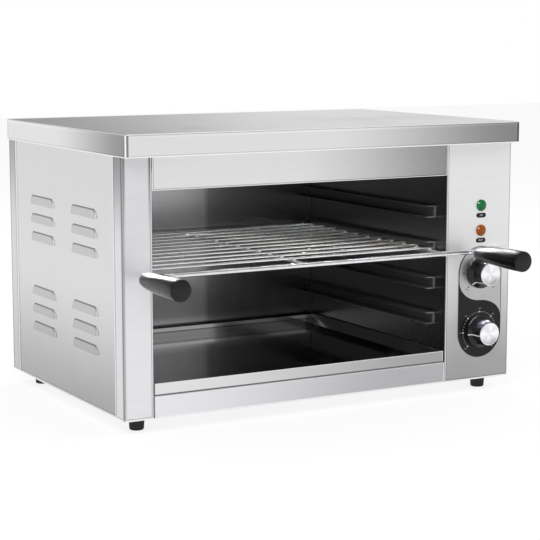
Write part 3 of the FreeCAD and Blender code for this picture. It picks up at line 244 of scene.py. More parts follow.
def shared_group(
    name: str,
    inputs: dict[str, str],
    outputs: Sequence[str],
) -> tuple[Board, list, bpy.types.Node]:
    """Starts a shader node group.

    Args:
        name: The group's name.
        inputs: Kinds of socket by input name.
        outputs: Names of its number outputs.

    Returns:
        The board, the group's input sockets, and its output node.
    """
    tree = bpy.data.node_groups.new(name, "ShaderNodeTree")
    for label, kind in inputs.items():
        tree.interface.new_socket(label, in_out="INPUT", socket_type="NodeSocket" + kind)
    for label in outputs:
        tree.interface.new_socket(label, in_out="OUTPUT", socket_type="NodeSocketFloat")
    board = Board(tree)
    start = tree.nodes.new("NodeGroupInput")
    return board, list(start.outputs), tree.nodes.new("NodeGroupOutput")


class Effects:
    """Shared effects, each a node group built once."""

    face_blend: float = 1.6
    depth_share: float = 0.5
    # These shape the painted highlight and painted shade lines along a sheet's edges.
    glint_edge: Pair = (0.7, 1.1)
    crease_shade_rise: Pair = (0.9, 1.2)
    crease_shade_fall: Pair = (1.8, 2.3)
    broad_waves: float = 0.17
    broad_height: float = 0.3
    broad_tone: float = 0.45
    tone_edge: Pair = (0.3, 0.7)
    cloud_waves: float = 7.0
    cloud_edge: Pair = (0.42, 0.72)
    wipe_stretch: Triple = (40.0, 9.0, 14.0)
    wipe_edge: Pair = (0.35, 0.7)
    hair_stretch: Triple = (900.0, 25.0, 160.0)
    hair_edge: Pair = (0.62, 0.7)
    flow_waves: float = 60.0
    flow_share: float = 0.6
    flow_edge: Pair = (0.2, 0.7)

    def __init__(self) -> None:
        """Builds the groups."""
        self.faces = self._faces()
        self.fold_highlight = self._fold_highlight()
        self.grain = self._grain()
        self.handling = self._handling()
        self.moulding = self._moulding()

    def _faces(self) -> bpy.types.NodeTree:
        """Returns masks of the front, side, top and rear faces of a piece, from its box."""
        kinds = {"Vector": "Vector", "Low": "Vector", "High": "Vector", "Depth": "Float"}
        names = [face.value for face in Face]
        board, (vector, low, high, depth, *_), end = shared_group("sheet_faces", kinds, names)
        x, y, z = board.parts(vector)
        low_x, low_y, _ = board.parts(low)
        high_x, high_y, high_z = board.parts(high)
        deeper = board.calc("MULTIPLY", depth, self.face_blend)
        to_left = board.calc("SUBTRACT", x, low_x)
        to_right = board.calc("SUBTRACT", high_x, x)
        to_front = board.calc("SUBTRACT", y, low_y)
        to_side = board.calc("MINIMUM", to_left, to_right)
        to_top = board.calc("SUBTRACT", high_z, z)
        to_rear = board.calc("SUBTRACT", high_y, y)
        for number, distance in enumerate((to_front, to_side, to_top, to_rear)):
            board.feed(end.inputs[number], board.inverse(board.span(distance, depth, deeper)))
        return board.tree

    def _fold_highlight(self) -> bpy.types.NodeTree:
        """Returns a painted highlight along a box's edges and a painted shade line beside it."""
        kinds = {"Vector": "Vector", "Low": "Vector", "High": "Vector", "Width": "Float"}
        board, sockets, end = shared_group("painted_fold_highlight", kinds, ("Glint", "Crease Shade"))
        vector, low, high, width, *_ = sockets
        distances = []
        for place, near, far in zip(board.parts(vector), board.parts(low), board.parts(high)):
            after = board.calc("SUBTRACT", place, near)
            before = board.calc("SUBTRACT", far, place)
            distances.append(board.calc("ABSOLUTE", board.calc("MINIMUM", after, before)))
        x, y, z = distances
        y = board.calc("MULTIPLY", y, self.depth_share)
        smaller = board.calc("MINIMUM", x, y)
        larger = board.calc("MAXIMUM", x, y)
        middle = board.calc("MAXIMUM", smaller, board.calc("MINIMUM", larger, z))
        share = board.calc("DIVIDE", middle, width)
        glint = board.inverse(board.span(share, *self.glint_edge))
        rise = board.span(share, *self.crease_shade_rise)
        fall = board.inverse(board.span(share, *self.crease_shade_fall))
        board.feed(end.inputs[0], glint)
        board.feed(end.inputs[1], board.calc("MULTIPLY", rise, fall))
        return board.tree

    def _grain(self) -> bpy.types.NodeTree:
        """Returns the height and tone of a rolled or brushed grain."""
        kinds = {"Vector": "Vector", "Waves": "Float"}
        board, (vector, waves, *_), end = shared_group("rolled_grain", kinds, ("Height", "Tone"))
        fine = board.noise(vector, waves, 4.0)
        broad = board.noise(vector, board.calc("MULTIPLY", waves, self.broad_waves), 2.0)
        mixed = board.vary(self.broad_tone, fine, broad)
        board.feed(end.inputs[0], board.vary(self.broad_height, fine, broad))
        board.feed(end.inputs[1], board.span(mixed, *self.tone_edge))
        return board.tree

    def _handling(self) -> bpy.types.NodeTree:
        """Returns a haze of wiped marks and the height of hairline scratches."""
        kinds = {"Vector": "Vector"}
        board, (vector, *_), end = shared_group("handling_marks", kinds, ("Haze", "Scratch"))
        cloud = board.span(board.noise(vector, self.cloud_waves, 4.0), *self.cloud_edge)
        wipes = board.noise(board.stretch(vector, self.wipe_stretch), 1.0, 3.0)
        board.feed(end.inputs[0], board.calc("MULTIPLY", cloud, board.span(wipes, *self.wipe_edge)))
        hair = board.noise(board.stretch(vector, self.hair_stretch), 1.0, 1.0)
        board.feed(end.inputs[1], board.span(hair, *self.hair_edge))
        return board.tree

    def _moulding(self) -> bpy.types.NodeTree:
        """Returns the height and tone of a moulded skin."""
        kinds = {"Vector": "Vector", "Waves": "Float"}
        board, (vector, waves, *_), end = shared_group("moulded_skin", kinds, ("Height", "Tone"))
        pits = board.put("TexVoronoi", {"Vector": vector, "Scale": waves}).outputs["Distance"]
        flow = board.noise(vector, self.flow_waves, 2.0)
        mixed = board.vary(self.flow_share, pits, flow)
        board.feed(end.inputs[0], pits)
        board.feed(end.inputs[1], board.span(mixed, *self.flow_edge))
        return board.tree


EFFECTS = Effects()
GLOSS_GROUPS = {gloss: bpy.data.collections.new(gloss.value) for gloss in Gloss}


@dataclass(frozen=True)
class Fade:
    """A painted fade of light or shade along one face of a sheet piece, in shares of its box."""

    face: Face
    axis: Axis
    start: float
    end: float
    low: float
    high: float
    depth: float = 3.2 * MM


@dataclass(frozen=True)
class Coat:
    """A material being filled, with the object coordinates and the CAD piece that it is for."""

    board: Board
    skin: bpy.types.Node
    place: Socket
    node: Optional[str]

    def end(self, colour: Socket, gloss: Socket, height: Socket, depth: float) -> None:
        """Feeds the Principled node, and adds the bump.

        Args:
            colour: The colour.
            gloss: The roughness.
            height: The relief, from 0 to 1.
            depth: The relief's depth in metres.
        """
        values = {"Height": height, "Distance": depth, "Strength": 1.0}
        bump = self.board.put("Bump", values)
        self.board.feed(self.skin.inputs["Base Color"], colour)
        self.board.feed(self.skin.inputs["Roughness"], gloss)
        self.board.feed(self.skin.inputs["Normal"], bump.outputs[0])


@dataclass(frozen=True)
class Finish:
    """A finish with its colour and gloss. Each kind adds its own detail."""

    colour: Triple
    gloss: float = 0.3
    metal: float = 0.0

    def material(self, name: str, node: Optional[str] = None) -> bpy.types.Material:
        """Builds the finish for a piece.

        Args:
            name: The material's name.
            node: The CAD piece, which only sheet needs, for its box.

        Returns:
            The material.
        """
        material = bpy.data.materials.new(name)
        material.use_nodes = True
        board = Board(material.node_tree)
        skin = material.node_tree.nodes["Principled BSDF"]
        skin.inputs["Metallic"].default_value = self.metal
        self.fill(Coat(board, skin, board.place(), node))
        return material

    def fill(self, coat: Coat) -> None:
        """Fills a material with the finish's detail. Each kind has its own."""
        raise NotImplementedError


@dataclass(frozen=True)
class SheetFinish(Finish):
    """Polished or rolled sheet: wiped marks, and painted light and shade by face and edge."""

    metal: float = 1.0
    grain: Triple = (12.0, 160.0, 160.0)
    grain_depth: float = 0.0012 * MM
    grain_tone: float = 0.025
    haze: float = 0.06
    # Width and colour of the painted highlight at the edges, and strength of the painted shade
    # beside it.
    fold_highlight_width: float = 1.1 * MM
    glint: Triple = (0.96, 0.96, 0.97)
    crease_shade: float = 0.55
    # Painted gradients of light and shade, and painted shade in the gaps at the edges.
    fades: tuple[Fade, ...] = ()
    shadows: tuple[Fade, ...] = ()
    raised: float = 0.0
    # Painted shade on the louvre hoods, and painted highlight on their rims.
    hood_shade_tone: float = 1.0
    rim_highlight: float = 1.12
    rim_rise: Pair = (0.02, 0.15)
    rim_fall: Pair = (0.3, 0.55)
    hood_rise: Pair = (0.1, 0.4)
    # Less metal under the painted highlight, so that it shows white.
    metal_glint: float = 0.35
    scratch_share: float = 0.12
    top_depth: float = 2.0 * MM

    @staticmethod
    def faded(
        board: Board,
        place: Socket,
        box: tuple[Vector, Vector],
        fades: Sequence[Fade],
        tone: object,
    ) -> Socket:
        """Returns a tone, changed by each painted fade of light or shade.

        Args:
            board: The material's board.
            place: The object coordinates.
            box: The lowest and highest corners that the fades follow.
            fades: The fades.
            tone: The tone to start from.

        Returns:
            The tone.
        """
        low, high = box
        along = board.parts(place)
        for fade in fades:
            faces = board.use(EFFECTS.faces, Vector=place, Low=low, High=high, Depth=fade.depth)
            reach = high[fade.axis.value] - low[fade.axis.value]
            start = low[fade.axis.value] + fade.start * reach
            end = low[fade.axis.value] + fade.end * reach
            slow = board.span(along[fade.axis.value], start, end, fade.low, fade.high)
            tone = board.calc("MULTIPLY", tone, board.vary(faces[fade.face.value], 1.0, slow))
        return tone

    def fill(self, coat: Coat) -> None:
        """Adds painted edge lines, marks and painted fades, which follow the CAD piece's box.

        Args:
            coat: The material to fill.
        """
        board = coat.board
        place = coat.place
        low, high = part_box(coat.node)
        if self.raised:
            low.x += self.raised if low.x < 0.0 else 0.0
            high.x -= self.raised if high.x > 0.0 else 0.0
        grain = board.use(EFFECTS.grain, Vector=board.stretch(place, self.grain), Waves=1.0)
        marks = board.use(EFFECTS.handling, Vector=place)
        tone = board.vary(grain["Tone"], 1.0 - self.grain_tone, 1.0)
        # Painted gradients of light and shade on each face.
        tone = self.faded(board, place, (low, high), self.fades, tone)
        # Painted highlight at the edges, with painted shade beside it except on the top face.
        fold_highlight = board.use(EFFECTS.fold_highlight, Vector=place, Low=low, High=high, Width=self.fold_highlight_width)
        faces = board.use(EFFECTS.faces, Vector=place, Low=low, High=high, Depth=self.top_depth)
        off_top = board.calc("MULTIPLY", fold_highlight["Crease Shade"], board.inverse(faces["Top"]))
        tone = board.calc("MULTIPLY", tone, board.vary(off_top, 1.0, self.crease_shade))
        if self.hood_shade_tone < 1.0:
            # Painted highlight on the louvre rims, and painted shade on their hoods.
            pressed = board.put("Attribute", attribute_name="pressed").outputs["Fac"]
            before_rim = board.span(pressed, *self.rim_rise)
            after_rim = board.span(pressed, *self.rim_fall, 1.0, 0.0)
            rim = board.calc("MULTIPLY", before_rim, after_rim)
            tone = board.calc("MULTIPLY", tone, board.vary(rim, 1.0, self.rim_highlight))
            hood = board.span(pressed, *self.hood_rise, 1.0, self.hood_shade_tone)
            tone = board.calc("MULTIPLY", tone, hood)
        steel = board.shade((*self.colour, 1.0), tone)
        # The pale edge colour is a painted highlight; the gaps then get painted shade.
        colour = board.tint(fold_highlight["Glint"], steel, (*self.glint, 1.0))
        if self.shadows:
            shadow = self.faded(board, place, (low, high), self.shadows, 1.0)
            colour = board.shade(colour, shadow)
        metal = board.vary(fold_highlight["Glint"], self.metal, self.metal_glint)
        board.feed(coat.skin.inputs["Metallic"], metal)
        dull = board.calc("MULTIPLY", marks["Haze"], self.haze)
        height = board.vary(self.scratch_share, grain["Height"], marks["Scratch"])
        coat.end(colour, board.calc("ADD", dull, self.gloss), height, self.grain_depth)


@dataclass(frozen=True)
class PlatedFinish(Finish):
    """Plated or drawn metal, with drawing lines and faint stains."""

    metal: float = 1.0
    waves: float = 900.0
    depth: float = 0.01 * MM
    stain: Triple = (0.5, 0.5, 0.5)
    stain_share: float = 0.25
    stain_waves: float = 45.0
    stain_edge: Pair = (0.45, 0.75)
    haze: float = 0.08

    def fill(self, coat: Coat) -> None:
        """Adds the drawing lines and stains.

        Args:
            coat: The material to fill.
        """
        board = coat.board
        place = coat.place
        grain = board.use(EFFECTS.grain, Vector=place, Waves=self.waves)
        cloud = board.noise(place, self.stain_waves, 4.0)
        stains = board.span(cloud, *self.stain_edge, 0.0, self.stain_share)
        colour = board.tint(stains, (*self.colour, 1.0), (*self.stain, 1.0))
        dull = board.calc("MULTIPLY", board.calc("ADD", stains, grain["Tone"]), self.haze)
        coat.end(colour, board.calc("ADD", dull, self.gloss), grain["Height"], self.depth)


@dataclass(frozen=True)
class MouldedFinish(Finish):
    """Moulded plastic, rubber or ceramic, with a fine skin and slight wear."""

    waves: float = 2200.0
    depth: float = 0.012 * MM
    worn: Triple = (0.1, 0.1, 0.1)
    worn_share: float = 0.3
    shine: float = 0.5
    haze: float = 0.12

    def fill(self, coat: Coat) -> None:
        """Adds the moulded skin and its wear.

        Args:
            coat: The material to fill.
        """
        board = coat.board
        place = coat.place
        skinning = board.use(EFFECTS.moulding, Vector=place, Waves=self.waves)
        marks = board.use(EFFECTS.handling, Vector=place)
        both = board.calc("ADD", skinning["Tone"], marks["Haze"])
        wear = board.calc("MULTIPLY", both, self.worn_share)
        colour = board.tint(wear, (*self.colour, 1.0), (*self.worn, 1.0))
        dull = board.calc("MULTIPLY", marks["Haze"], self.haze)
        coat.skin.inputs["Specular IOR Level"].default_value = self.shine
        coat.end(colour, board.calc("ADD", dull, self.gloss), skinning["Height"], self.depth)


@dataclass(frozen=True)
class SpunFinish(Finish):
    """Spun disc: fine rings, and painted bright and dark sectors standing in for its highlights."""

    metal: float = 1.0
    centre: Triple = (0.0, 0.0, 0.0)
    rings: float = 700.0
    ring_depth: float = 0.02 * MM
    ring_gloss: float = 0.1
    sectors: float = 4.0
    sector_shift: float = 0.5
    broad_sectors: float = 2.0
    broad_shift: float = 0.6
    broad_share: float = 0.7
    swing: float = 1.5
    darkest: float = 0.8

    def fill(self, coat: Coat) -> None:
        """Adds the rings, and the painted highlight sectors round its centre.

        Args:
            coat: The material to fill.
        """
        board = coat.board
        place = coat.place
        offset = board.put("VectorMath", {0: place, 1: self.centre}, operation="SUBTRACT")
        x, _, z = board.parts(offset.outputs[0])
        angle = board.calc("ARCTAN2", z, x)
        squares = board.calc("ADD", board.calc("POWER", x, 2.0), board.calc("POWER", z, 2.0))
        radius = board.calc("SQRT", squares)
        # The bright and dark sectors are a painted highlight.
        turned = board.calc("MULTIPLY", angle, self.sectors)
        narrow = board.calc("COSINE", board.calc("ADD", turned, self.sector_shift))
        turned = board.calc("MULTIPLY", angle, self.broad_sectors)
        broad = board.calc("SINE", board.calc("ADD", turned, self.broad_shift))
        both = board.calc("ADD", narrow, board.calc("MULTIPLY", broad, self.broad_share))
        sector_highlight = board.span(both, -self.swing, self.swing, self.darkest, 1.0)
        ring = board.calc("SINE", board.calc("MULTIPLY", radius, self.rings * FULL_TURN))
        colour = board.shade((*self.colour, 1.0), sector_highlight)
        dull = board.span(ring, -1.0, 1.0, self.gloss, self.gloss + self.ring_gloss)
        coat.end(colour, dull, board.span(ring, -1.0, 1.0), self.ring_depth)


@dataclass(frozen=True)
class LensFinish(Finish):
    """Tinted lens with moulded prisms behind a clear skin."""

    deep: Triple = (0.0, 0.05, 0.02)
    cells: float = 420.0
    cell_edge: Pair = (0.1, 0.6)
    cell_depth: float = 0.03 * MM
    cell_gloss: float = 0.12
    shine: float = 0.3

    def fill(self, coat: Coat) -> None:
        """Adds the prisms.

        Args:
            coat: The material to fill.
        """
        board = coat.board
        place = coat.place
        cells = board.put("TexVoronoi", {"Vector": place, "Scale": self.cells}).outputs["Distance"]
        prism = board.span(cells, *self.cell_edge)
        colour = board.tint(prism, (*self.colour, 1.0), (*self.deep, 1.0))
        dull = board.span(prism, 0.0, 1.0, self.gloss, self.gloss + self.cell_gloss)
        coat.skin.inputs["Specular IOR Level"].default_value = self.shine
        coat.end(colour, dull, prism, self.cell_depth)


@dataclass(frozen=True)
class FibreFinish(Finish):
    """Soft mat of short fibres."""

    strand_stretch: Triple = (1.0, 3.0, 8.0)
    strand_waves: float = 300.0
    strand_edge: Pair = (0.3, 0.7)
    lump_waves: float = 40.0
    lump_share: float = 0.4
    darkest: float = 0.72
    least_dull: float = 0.85
    relief: float = 0.6 * MM

    def fill(self, coat: Coat) -> None:
        """Adds the strands and lumps.

        Args:
            coat: The material to fill.
        """
        board = coat.board
        place = coat.place
        strands = board.noise(board.stretch(place, self.strand_stretch), self.strand_waves, 6.0)
        lumps = board.noise(place, self.lump_waves, 3.0)
        mixed = board.vary(self.lump_share, strands, lumps)
        tone = board.span(mixed, *self.strand_edge, self.darkest, 1.0)
        dull = board.span(strands, *self.strand_edge, self.least_dull, 1.0)
        coat.end(board.shade((*self.colour, 1.0), tone), dull, strands, self.relief)


class Shape:
    """A piece being modelled, in metres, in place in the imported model's frame."""

    def __init__(self) -> None:
        """Starts empty."""
        self.mesh = bmesh.new()

    def lathe(
        self,
        centre: Vector,
        along: Vector,
        profile: Sequence[Pair],
        steps: int = 64,
    ) -> None:
        """Spins a profile into a closed turned form.

        Args:
            centre: Where the profile's zero lies on the axis.
            along: The axis' direction.
            profile: (along, radius) points, in metres, from one pole to the other.
            steps: Steps of the full turn.
        """
        side = along.orthogonal().normalized()
        places = [centre + along * reach + side * radius for reach, radius in profile]
        points = [self.mesh.verts.new(place) for place in places]
        lines = [self.mesh.edges.new(pair) for pair in zip(points, points[1:])]
        bmesh.ops.spin(
            self.mesh,
            geom=points + lines,
            cent=centre,
            axis=along,
            angle=FULL_TURN,
            steps=steps,
            use_merge=True,
        )
        bmesh.ops.remove_doubles(self.mesh, verts=self.mesh.verts, dist=1e-6)
        bmesh.ops.recalc_face_normals(self.mesh, faces=self.mesh.faces)

    def disc(self, centre: Vector, radius: float, depth: float, segments: int = 16) -> None:
        """Adds a thin disc that faces the front.

        Args:
            centre: Its middle.
            radius: Its radius.
            depth: Its thickness.
            segments: Its sides.
        """
        place = Matrix.Translation(centre) @ Matrix.Rotation(QUARTER_TURN, 4, "X")
        bmesh.ops.create_cone(
            self.mesh,
            cap_ends=True,
            segments=segments,
            radius1=radius,
            radius2=radius,
            depth=depth,
            matrix=place,
        )

    def block(self, centre: Vector, size: Vector, turn: float = 0.0) -> None:
        """Adds a small block, turned about the front-to-back axis.

        Args:
            centre: Its middle.
            size: Its sides.
            turn: Its angle in radians, clockwise from the front.
        """
        place = Matrix.Translation(centre) @ Matrix.Rotation(turn, 4, "Y")
        bmesh.ops.create_cube(self.mesh, size=1.0, matrix=place @ Matrix.Diagonal((*size, 1.0)))

    def bead(self, centre: Vector, size: Vector) -> None:
        """Adds a weld bead.

        Args:
            centre: Its middle.
            size: Its half sizes.
        """
        place = Matrix.Translation(centre) @ Matrix.Diagonal((*size, 1.0))
        bmesh.ops.create_uvsphere(self.mesh, u_segments=8, v_segments=6, radius=1.0, matrix=place)

    def arc(
        self,
        centre: Vector,
        radius: float,
        width: float,
        depth: float,
        start: float,
        end: float,
    ) -> None:
        """Adds a thin printed arc on a dial.

        Args:
            centre: The dial's middle.
            radius: The arc's middle radius.
            width: Its width.
            depth: Its thickness.
            start: Where it starts, in degrees clockwise from the top.
            end: Where it ends.
        """
        first = dial_place(centre, radius, start)
        outward = (first - centre).normalized()
        corners = []
        for across, deep in ((-0.5, -0.5), (0.5, -0.5), (0.5, 0.5), (-0.5, 0.5)):
            place = first + outward * width * across + Vector((0.0, depth * deep, 0.0))
            corners.append(self.mesh.verts.new(place))
        section = self.mesh.faces.new(corners)
        bmesh.ops.spin(
            self.mesh,
            geom=[section],
            cent=centre,
            axis=BACKWARD,
            angle=math.radians(end - start),
            steps=16,
        )
        bmesh.ops.recalc_face_normals(self.mesh, faces=self.mesh.faces)

    def outline(self, curve: bpy.types.Curve, place: Matrix) -> None:
        """Adds a filled curve or text, laid upright to face the front.

        Args:
            curve: The curve or text.
            place: Where its own middle goes.
        """
        holder = bpy.data.objects.new("outline", curve)
        bpy.context.scene.collection.objects.link(holder)
        bpy.context.view_layer.update()
        graph = bpy.context.evaluated_depsgraph_get()
        flat = bpy.data.meshes.new_from_object(holder.evaluated_get(graph))
        flat.transform(place @ Matrix.Rotation(QUARTER_TURN, 4, "X"))
        self.mesh.from_mesh(flat)
        bpy.data.objects.remove(holder)
        bpy.data.meshes.remove(flat)

    def words(self, text: str, height: float, depth: float, centre: Vector) -> None:
        """Adds generic lettering that faces the front.

        Args:
            text: The letters or numbers.
            height: The type size in metres.
            depth: How thick the print is.
            centre: The middle of the word.
        """
        curve = bpy.data.curves.new("print", "FONT")
        curve.body = text
        curve.size = height
        curve.extrude = depth / 2.0
        curve.align_x = "CENTER"
        curve.align_y = "CENTER"
        curve.resolution_u = 3
        self.outline(curve, Matrix.Translation(centre))
        bpy.data.curves.remove(curve)

    def finish(
        self,
        name: str,
        material: bpy.types.Material,
        body: Body,
        slot: str,
        replaces: Iterable[str] = (),
        smooth: float = 35.0,
        gloss: Optional[Gloss] = None,
    ) -> bpy.types.Object:
        """Ends the piece, and links it to the scene on its body.

        Args:
            name: The piece's name.
            material: Its finish.
            body: The body that it rides on.
            slot: The model's material slot. It is not used.
            replaces: CAD pieces that it stands for.
            smooth: Edges below this many degrees are shaded smooth.
            gloss: The group whose panels for gloss show in it.

        Returns:
            The object.
        """
        mesh = bpy.data.meshes.new(name)
        self.mesh.to_mesh(mesh)
        self.mesh.free()
        mesh.polygons.foreach_set("use_smooth", [True] * len(mesh.polygons))
        mesh.set_sharp_from_angle(angle=math.radians(smooth))
        mesh.materials.append(material)
        piece = bpy.data.objects.new(name, mesh)
        bpy.context.scene.collection.objects.link(piece)
        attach(piece, body.value)
        if replaces:
            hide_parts(*replaces)
        if gloss:
            GLOSS_GROUPS[gloss].objects.link(piece)
        LOG.info("made %s with %d faces", name, len(mesh.polygons))
        return piece


def dial_place(centre: Vector, radius: float, degrees: float) -> Vector:
    """Returns the place on a dial at an angle, clockwise from the top."""
    angle = math.radians(degrees)
    return centre + Vector((math.sin(angle), 0.0, math.cos(angle))) * radius


def box_middle(node: str) -> Vector:
    """Returns the middle of a CAD piece's box."""
    low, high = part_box(node)
    return (low + high) / 2.0


def dress(node: str, material: bpy.types.Material) -> None:
    """Puts a finish on a CAD piece.

    Args:
        node: The CAD piece.
        material: Its finish.
    """
    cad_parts[node].material_slots[0].material = material
    LOG.info("dressed %s", node)


def dress_each(nodes: Iterable[str], finish: Finish, name: str) -> None:
    """Puts a finish on several CAD pieces, as a material for each.

    Args:
        nodes: The CAD pieces.
        finish: Their finish.
        name: What the materials' names start with.
    """
    for node in nodes:
        dress(node, finish.material(f"{name}.{node}", node))


@dataclass
class Case:
    """Folded outer sheets, each with its own painted edge lines and painted light and shade."""

    steel: Triple = (0.78, 0.78, 0.785)
    # Painted lighter than the steel, for how the post catches light.
    post_steel_lightened: Triple = (0.865, 0.862, 0.89)
    rail_steel: Triple = (0.79, 0.785, 0.82)
    # Painted lighter than the steel, for how the control panel catches light.
    control_steel_lightened: Triple = (0.88, 0.88, 0.885)
    gloss: float = 0.16
    dull_gloss: float = 0.5
    dull_metal: float = 0.55
    hood_shade_tone: float = 0.8
    # Side panels: painted shade towards the bottom, and painted shade in the gaps at front and
    # rear.
    side_fades: tuple[Fade, ...] = (Fade(Face.SIDE, Axis.Z, -0.08, 0.5, 0.44, 0.89, 5.0 * MM),)
    side_shadows: tuple[Fade, ...] = (
        Fade(Face.SIDE, Axis.Y, 0.0, 0.005, 0.4, 1.0),
        Fade(Face.SIDE, Axis.Y, 0.995, 1.0, 1.0, 0.4),
    )

    def build(self) -> None:
        """Dresses the sheets, and makes the louvred ones."""
        for node, finish in self.finishes().items():
            dress_each((node,), finish, "polished_sheet")
        for node in ("left_side_panel", "right_side_panel"):
            panel = LouvredPanel(node)
            # The louvres get painted shade on their hoods and painted highlight on their rims.
            finish = SheetFinish(
                self.steel,
                self.gloss,
                fades=self.side_fades,
                shadows=self.side_shadows,
                raised=panel.rise,
                hood_shade_tone=self.hood_shade_tone,
            )
            panel.build(finish.material(f"polished_sheet.{node}", node))

    def finishes(self) -> dict[str, SheetFinish]:
        """Lists the plain sheets' finishes.

        Returns:
            A finish for each CAD piece. Its fades and the shadows of the gaps at its edges are
            painted.
        """
        # Every sheet gets a painted highlight at its edges, most with a painted shade line beside
        # it.
        return {
            # Cover: painted shade on its front's right, its sides' front and its rear; painted
            # light on top.
            "top_cover": SheetFinish(
                self.steel,
                self.gloss,
                fold_highlight_width=1.35 * MM,
                crease_shade=0.82,
                fades=(
                    Fade(Face.FRONT, Axis.X, 0.45, 1.02, 1.03, 0.335),
                    Fade(Face.SIDE, Axis.Y, -0.05, 0.6, 0.33, 1.02),
                    Fade(Face.TOP, Axis.X, -0.05, 0.62, 1.06, 1.2),
                    Fade(Face.TOP, Axis.Y, 0.3, 1.0, 1.0, 1.06),
                    Fade(Face.REAR, Axis.Z, 0.0, 1.0, 0.86, 0.88),
                ),
            ),
            # Fascia: painted shade towards its right.
            "front_fascia": SheetFinish(
                self.steel,
                self.gloss,
                fades=(Fade(Face.FRONT, Axis.X, 0.42, 1.13, 0.98, 0.32),),
            ),
            # Control panel: painted shade towards its bottom.
            "control_panel": SheetFinish(
                self.control_steel_lightened,
                self.dull_gloss,
                self.dull_metal,
                fades=(Fade(Face.FRONT, Axis.Z, -0.05, 0.6, 0.46, 1.04),),
            ),
            # Post: painted shade towards its top, and a painted shade line at its front's left
            # edge.
            "front_left_post": SheetFinish(
                self.post_steel_lightened,
                self.dull_gloss,
                self.dull_metal,
                fades=(
                    Fade(Face.FRONT, Axis.Z, 0.0, 1.0, 1.06, 0.93),
                    Fade(Face.SIDE, Axis.Z, 0.6, 0.95, 0.96, 0.4),
                ),
                shadows=(Fade(Face.FRONT, Axis.X, 0.0, 0.04, 0.3, 1.0, 2.2 * MM),),
            ),
            # Rail: painted shade to its right, on its top flange, and in the gaps above and beside
            # it.
            "lower_front_rail": SheetFinish(
                self.rail_steel,
                self.gloss,
                crease_shade=1.0,
                fades=(
                    Fade(Face.FRONT, Axis.X, 0.0, 0.9, 1.04, 0.57),
                    Fade(Face.TOP, Axis.Y, 0.06, 0.12, 1.0, 0.06),
                ),
                shadows=(
                    Fade(Face.TOP, Axis.Y, 0.02, 0.05, 1.0, 0.03),
                    Fade(Face.FRONT, Axis.X, 0.0, 0.004, 0.2, 1.0),
                ),
            ),
            # Rear panel: painted shade low and high on its sides, and low on its back.
            "rear_panel": SheetFinish(
                self.steel,
                self.gloss,
                fades=(
                    Fade(Face.SIDE, Axis.Z, 0.0, 0.5, 0.65, 0.84),
                    Fade(Face.SIDE, Axis.Z, 0.6, 0.95, 1.0, 0.55),
                    Fade(Face.REAR, Axis.Z, -0.1, 0.6, 0.68, 0.88),
                ),
            ),
            "base_plate": SheetFinish(self.steel, self.gloss),
        }


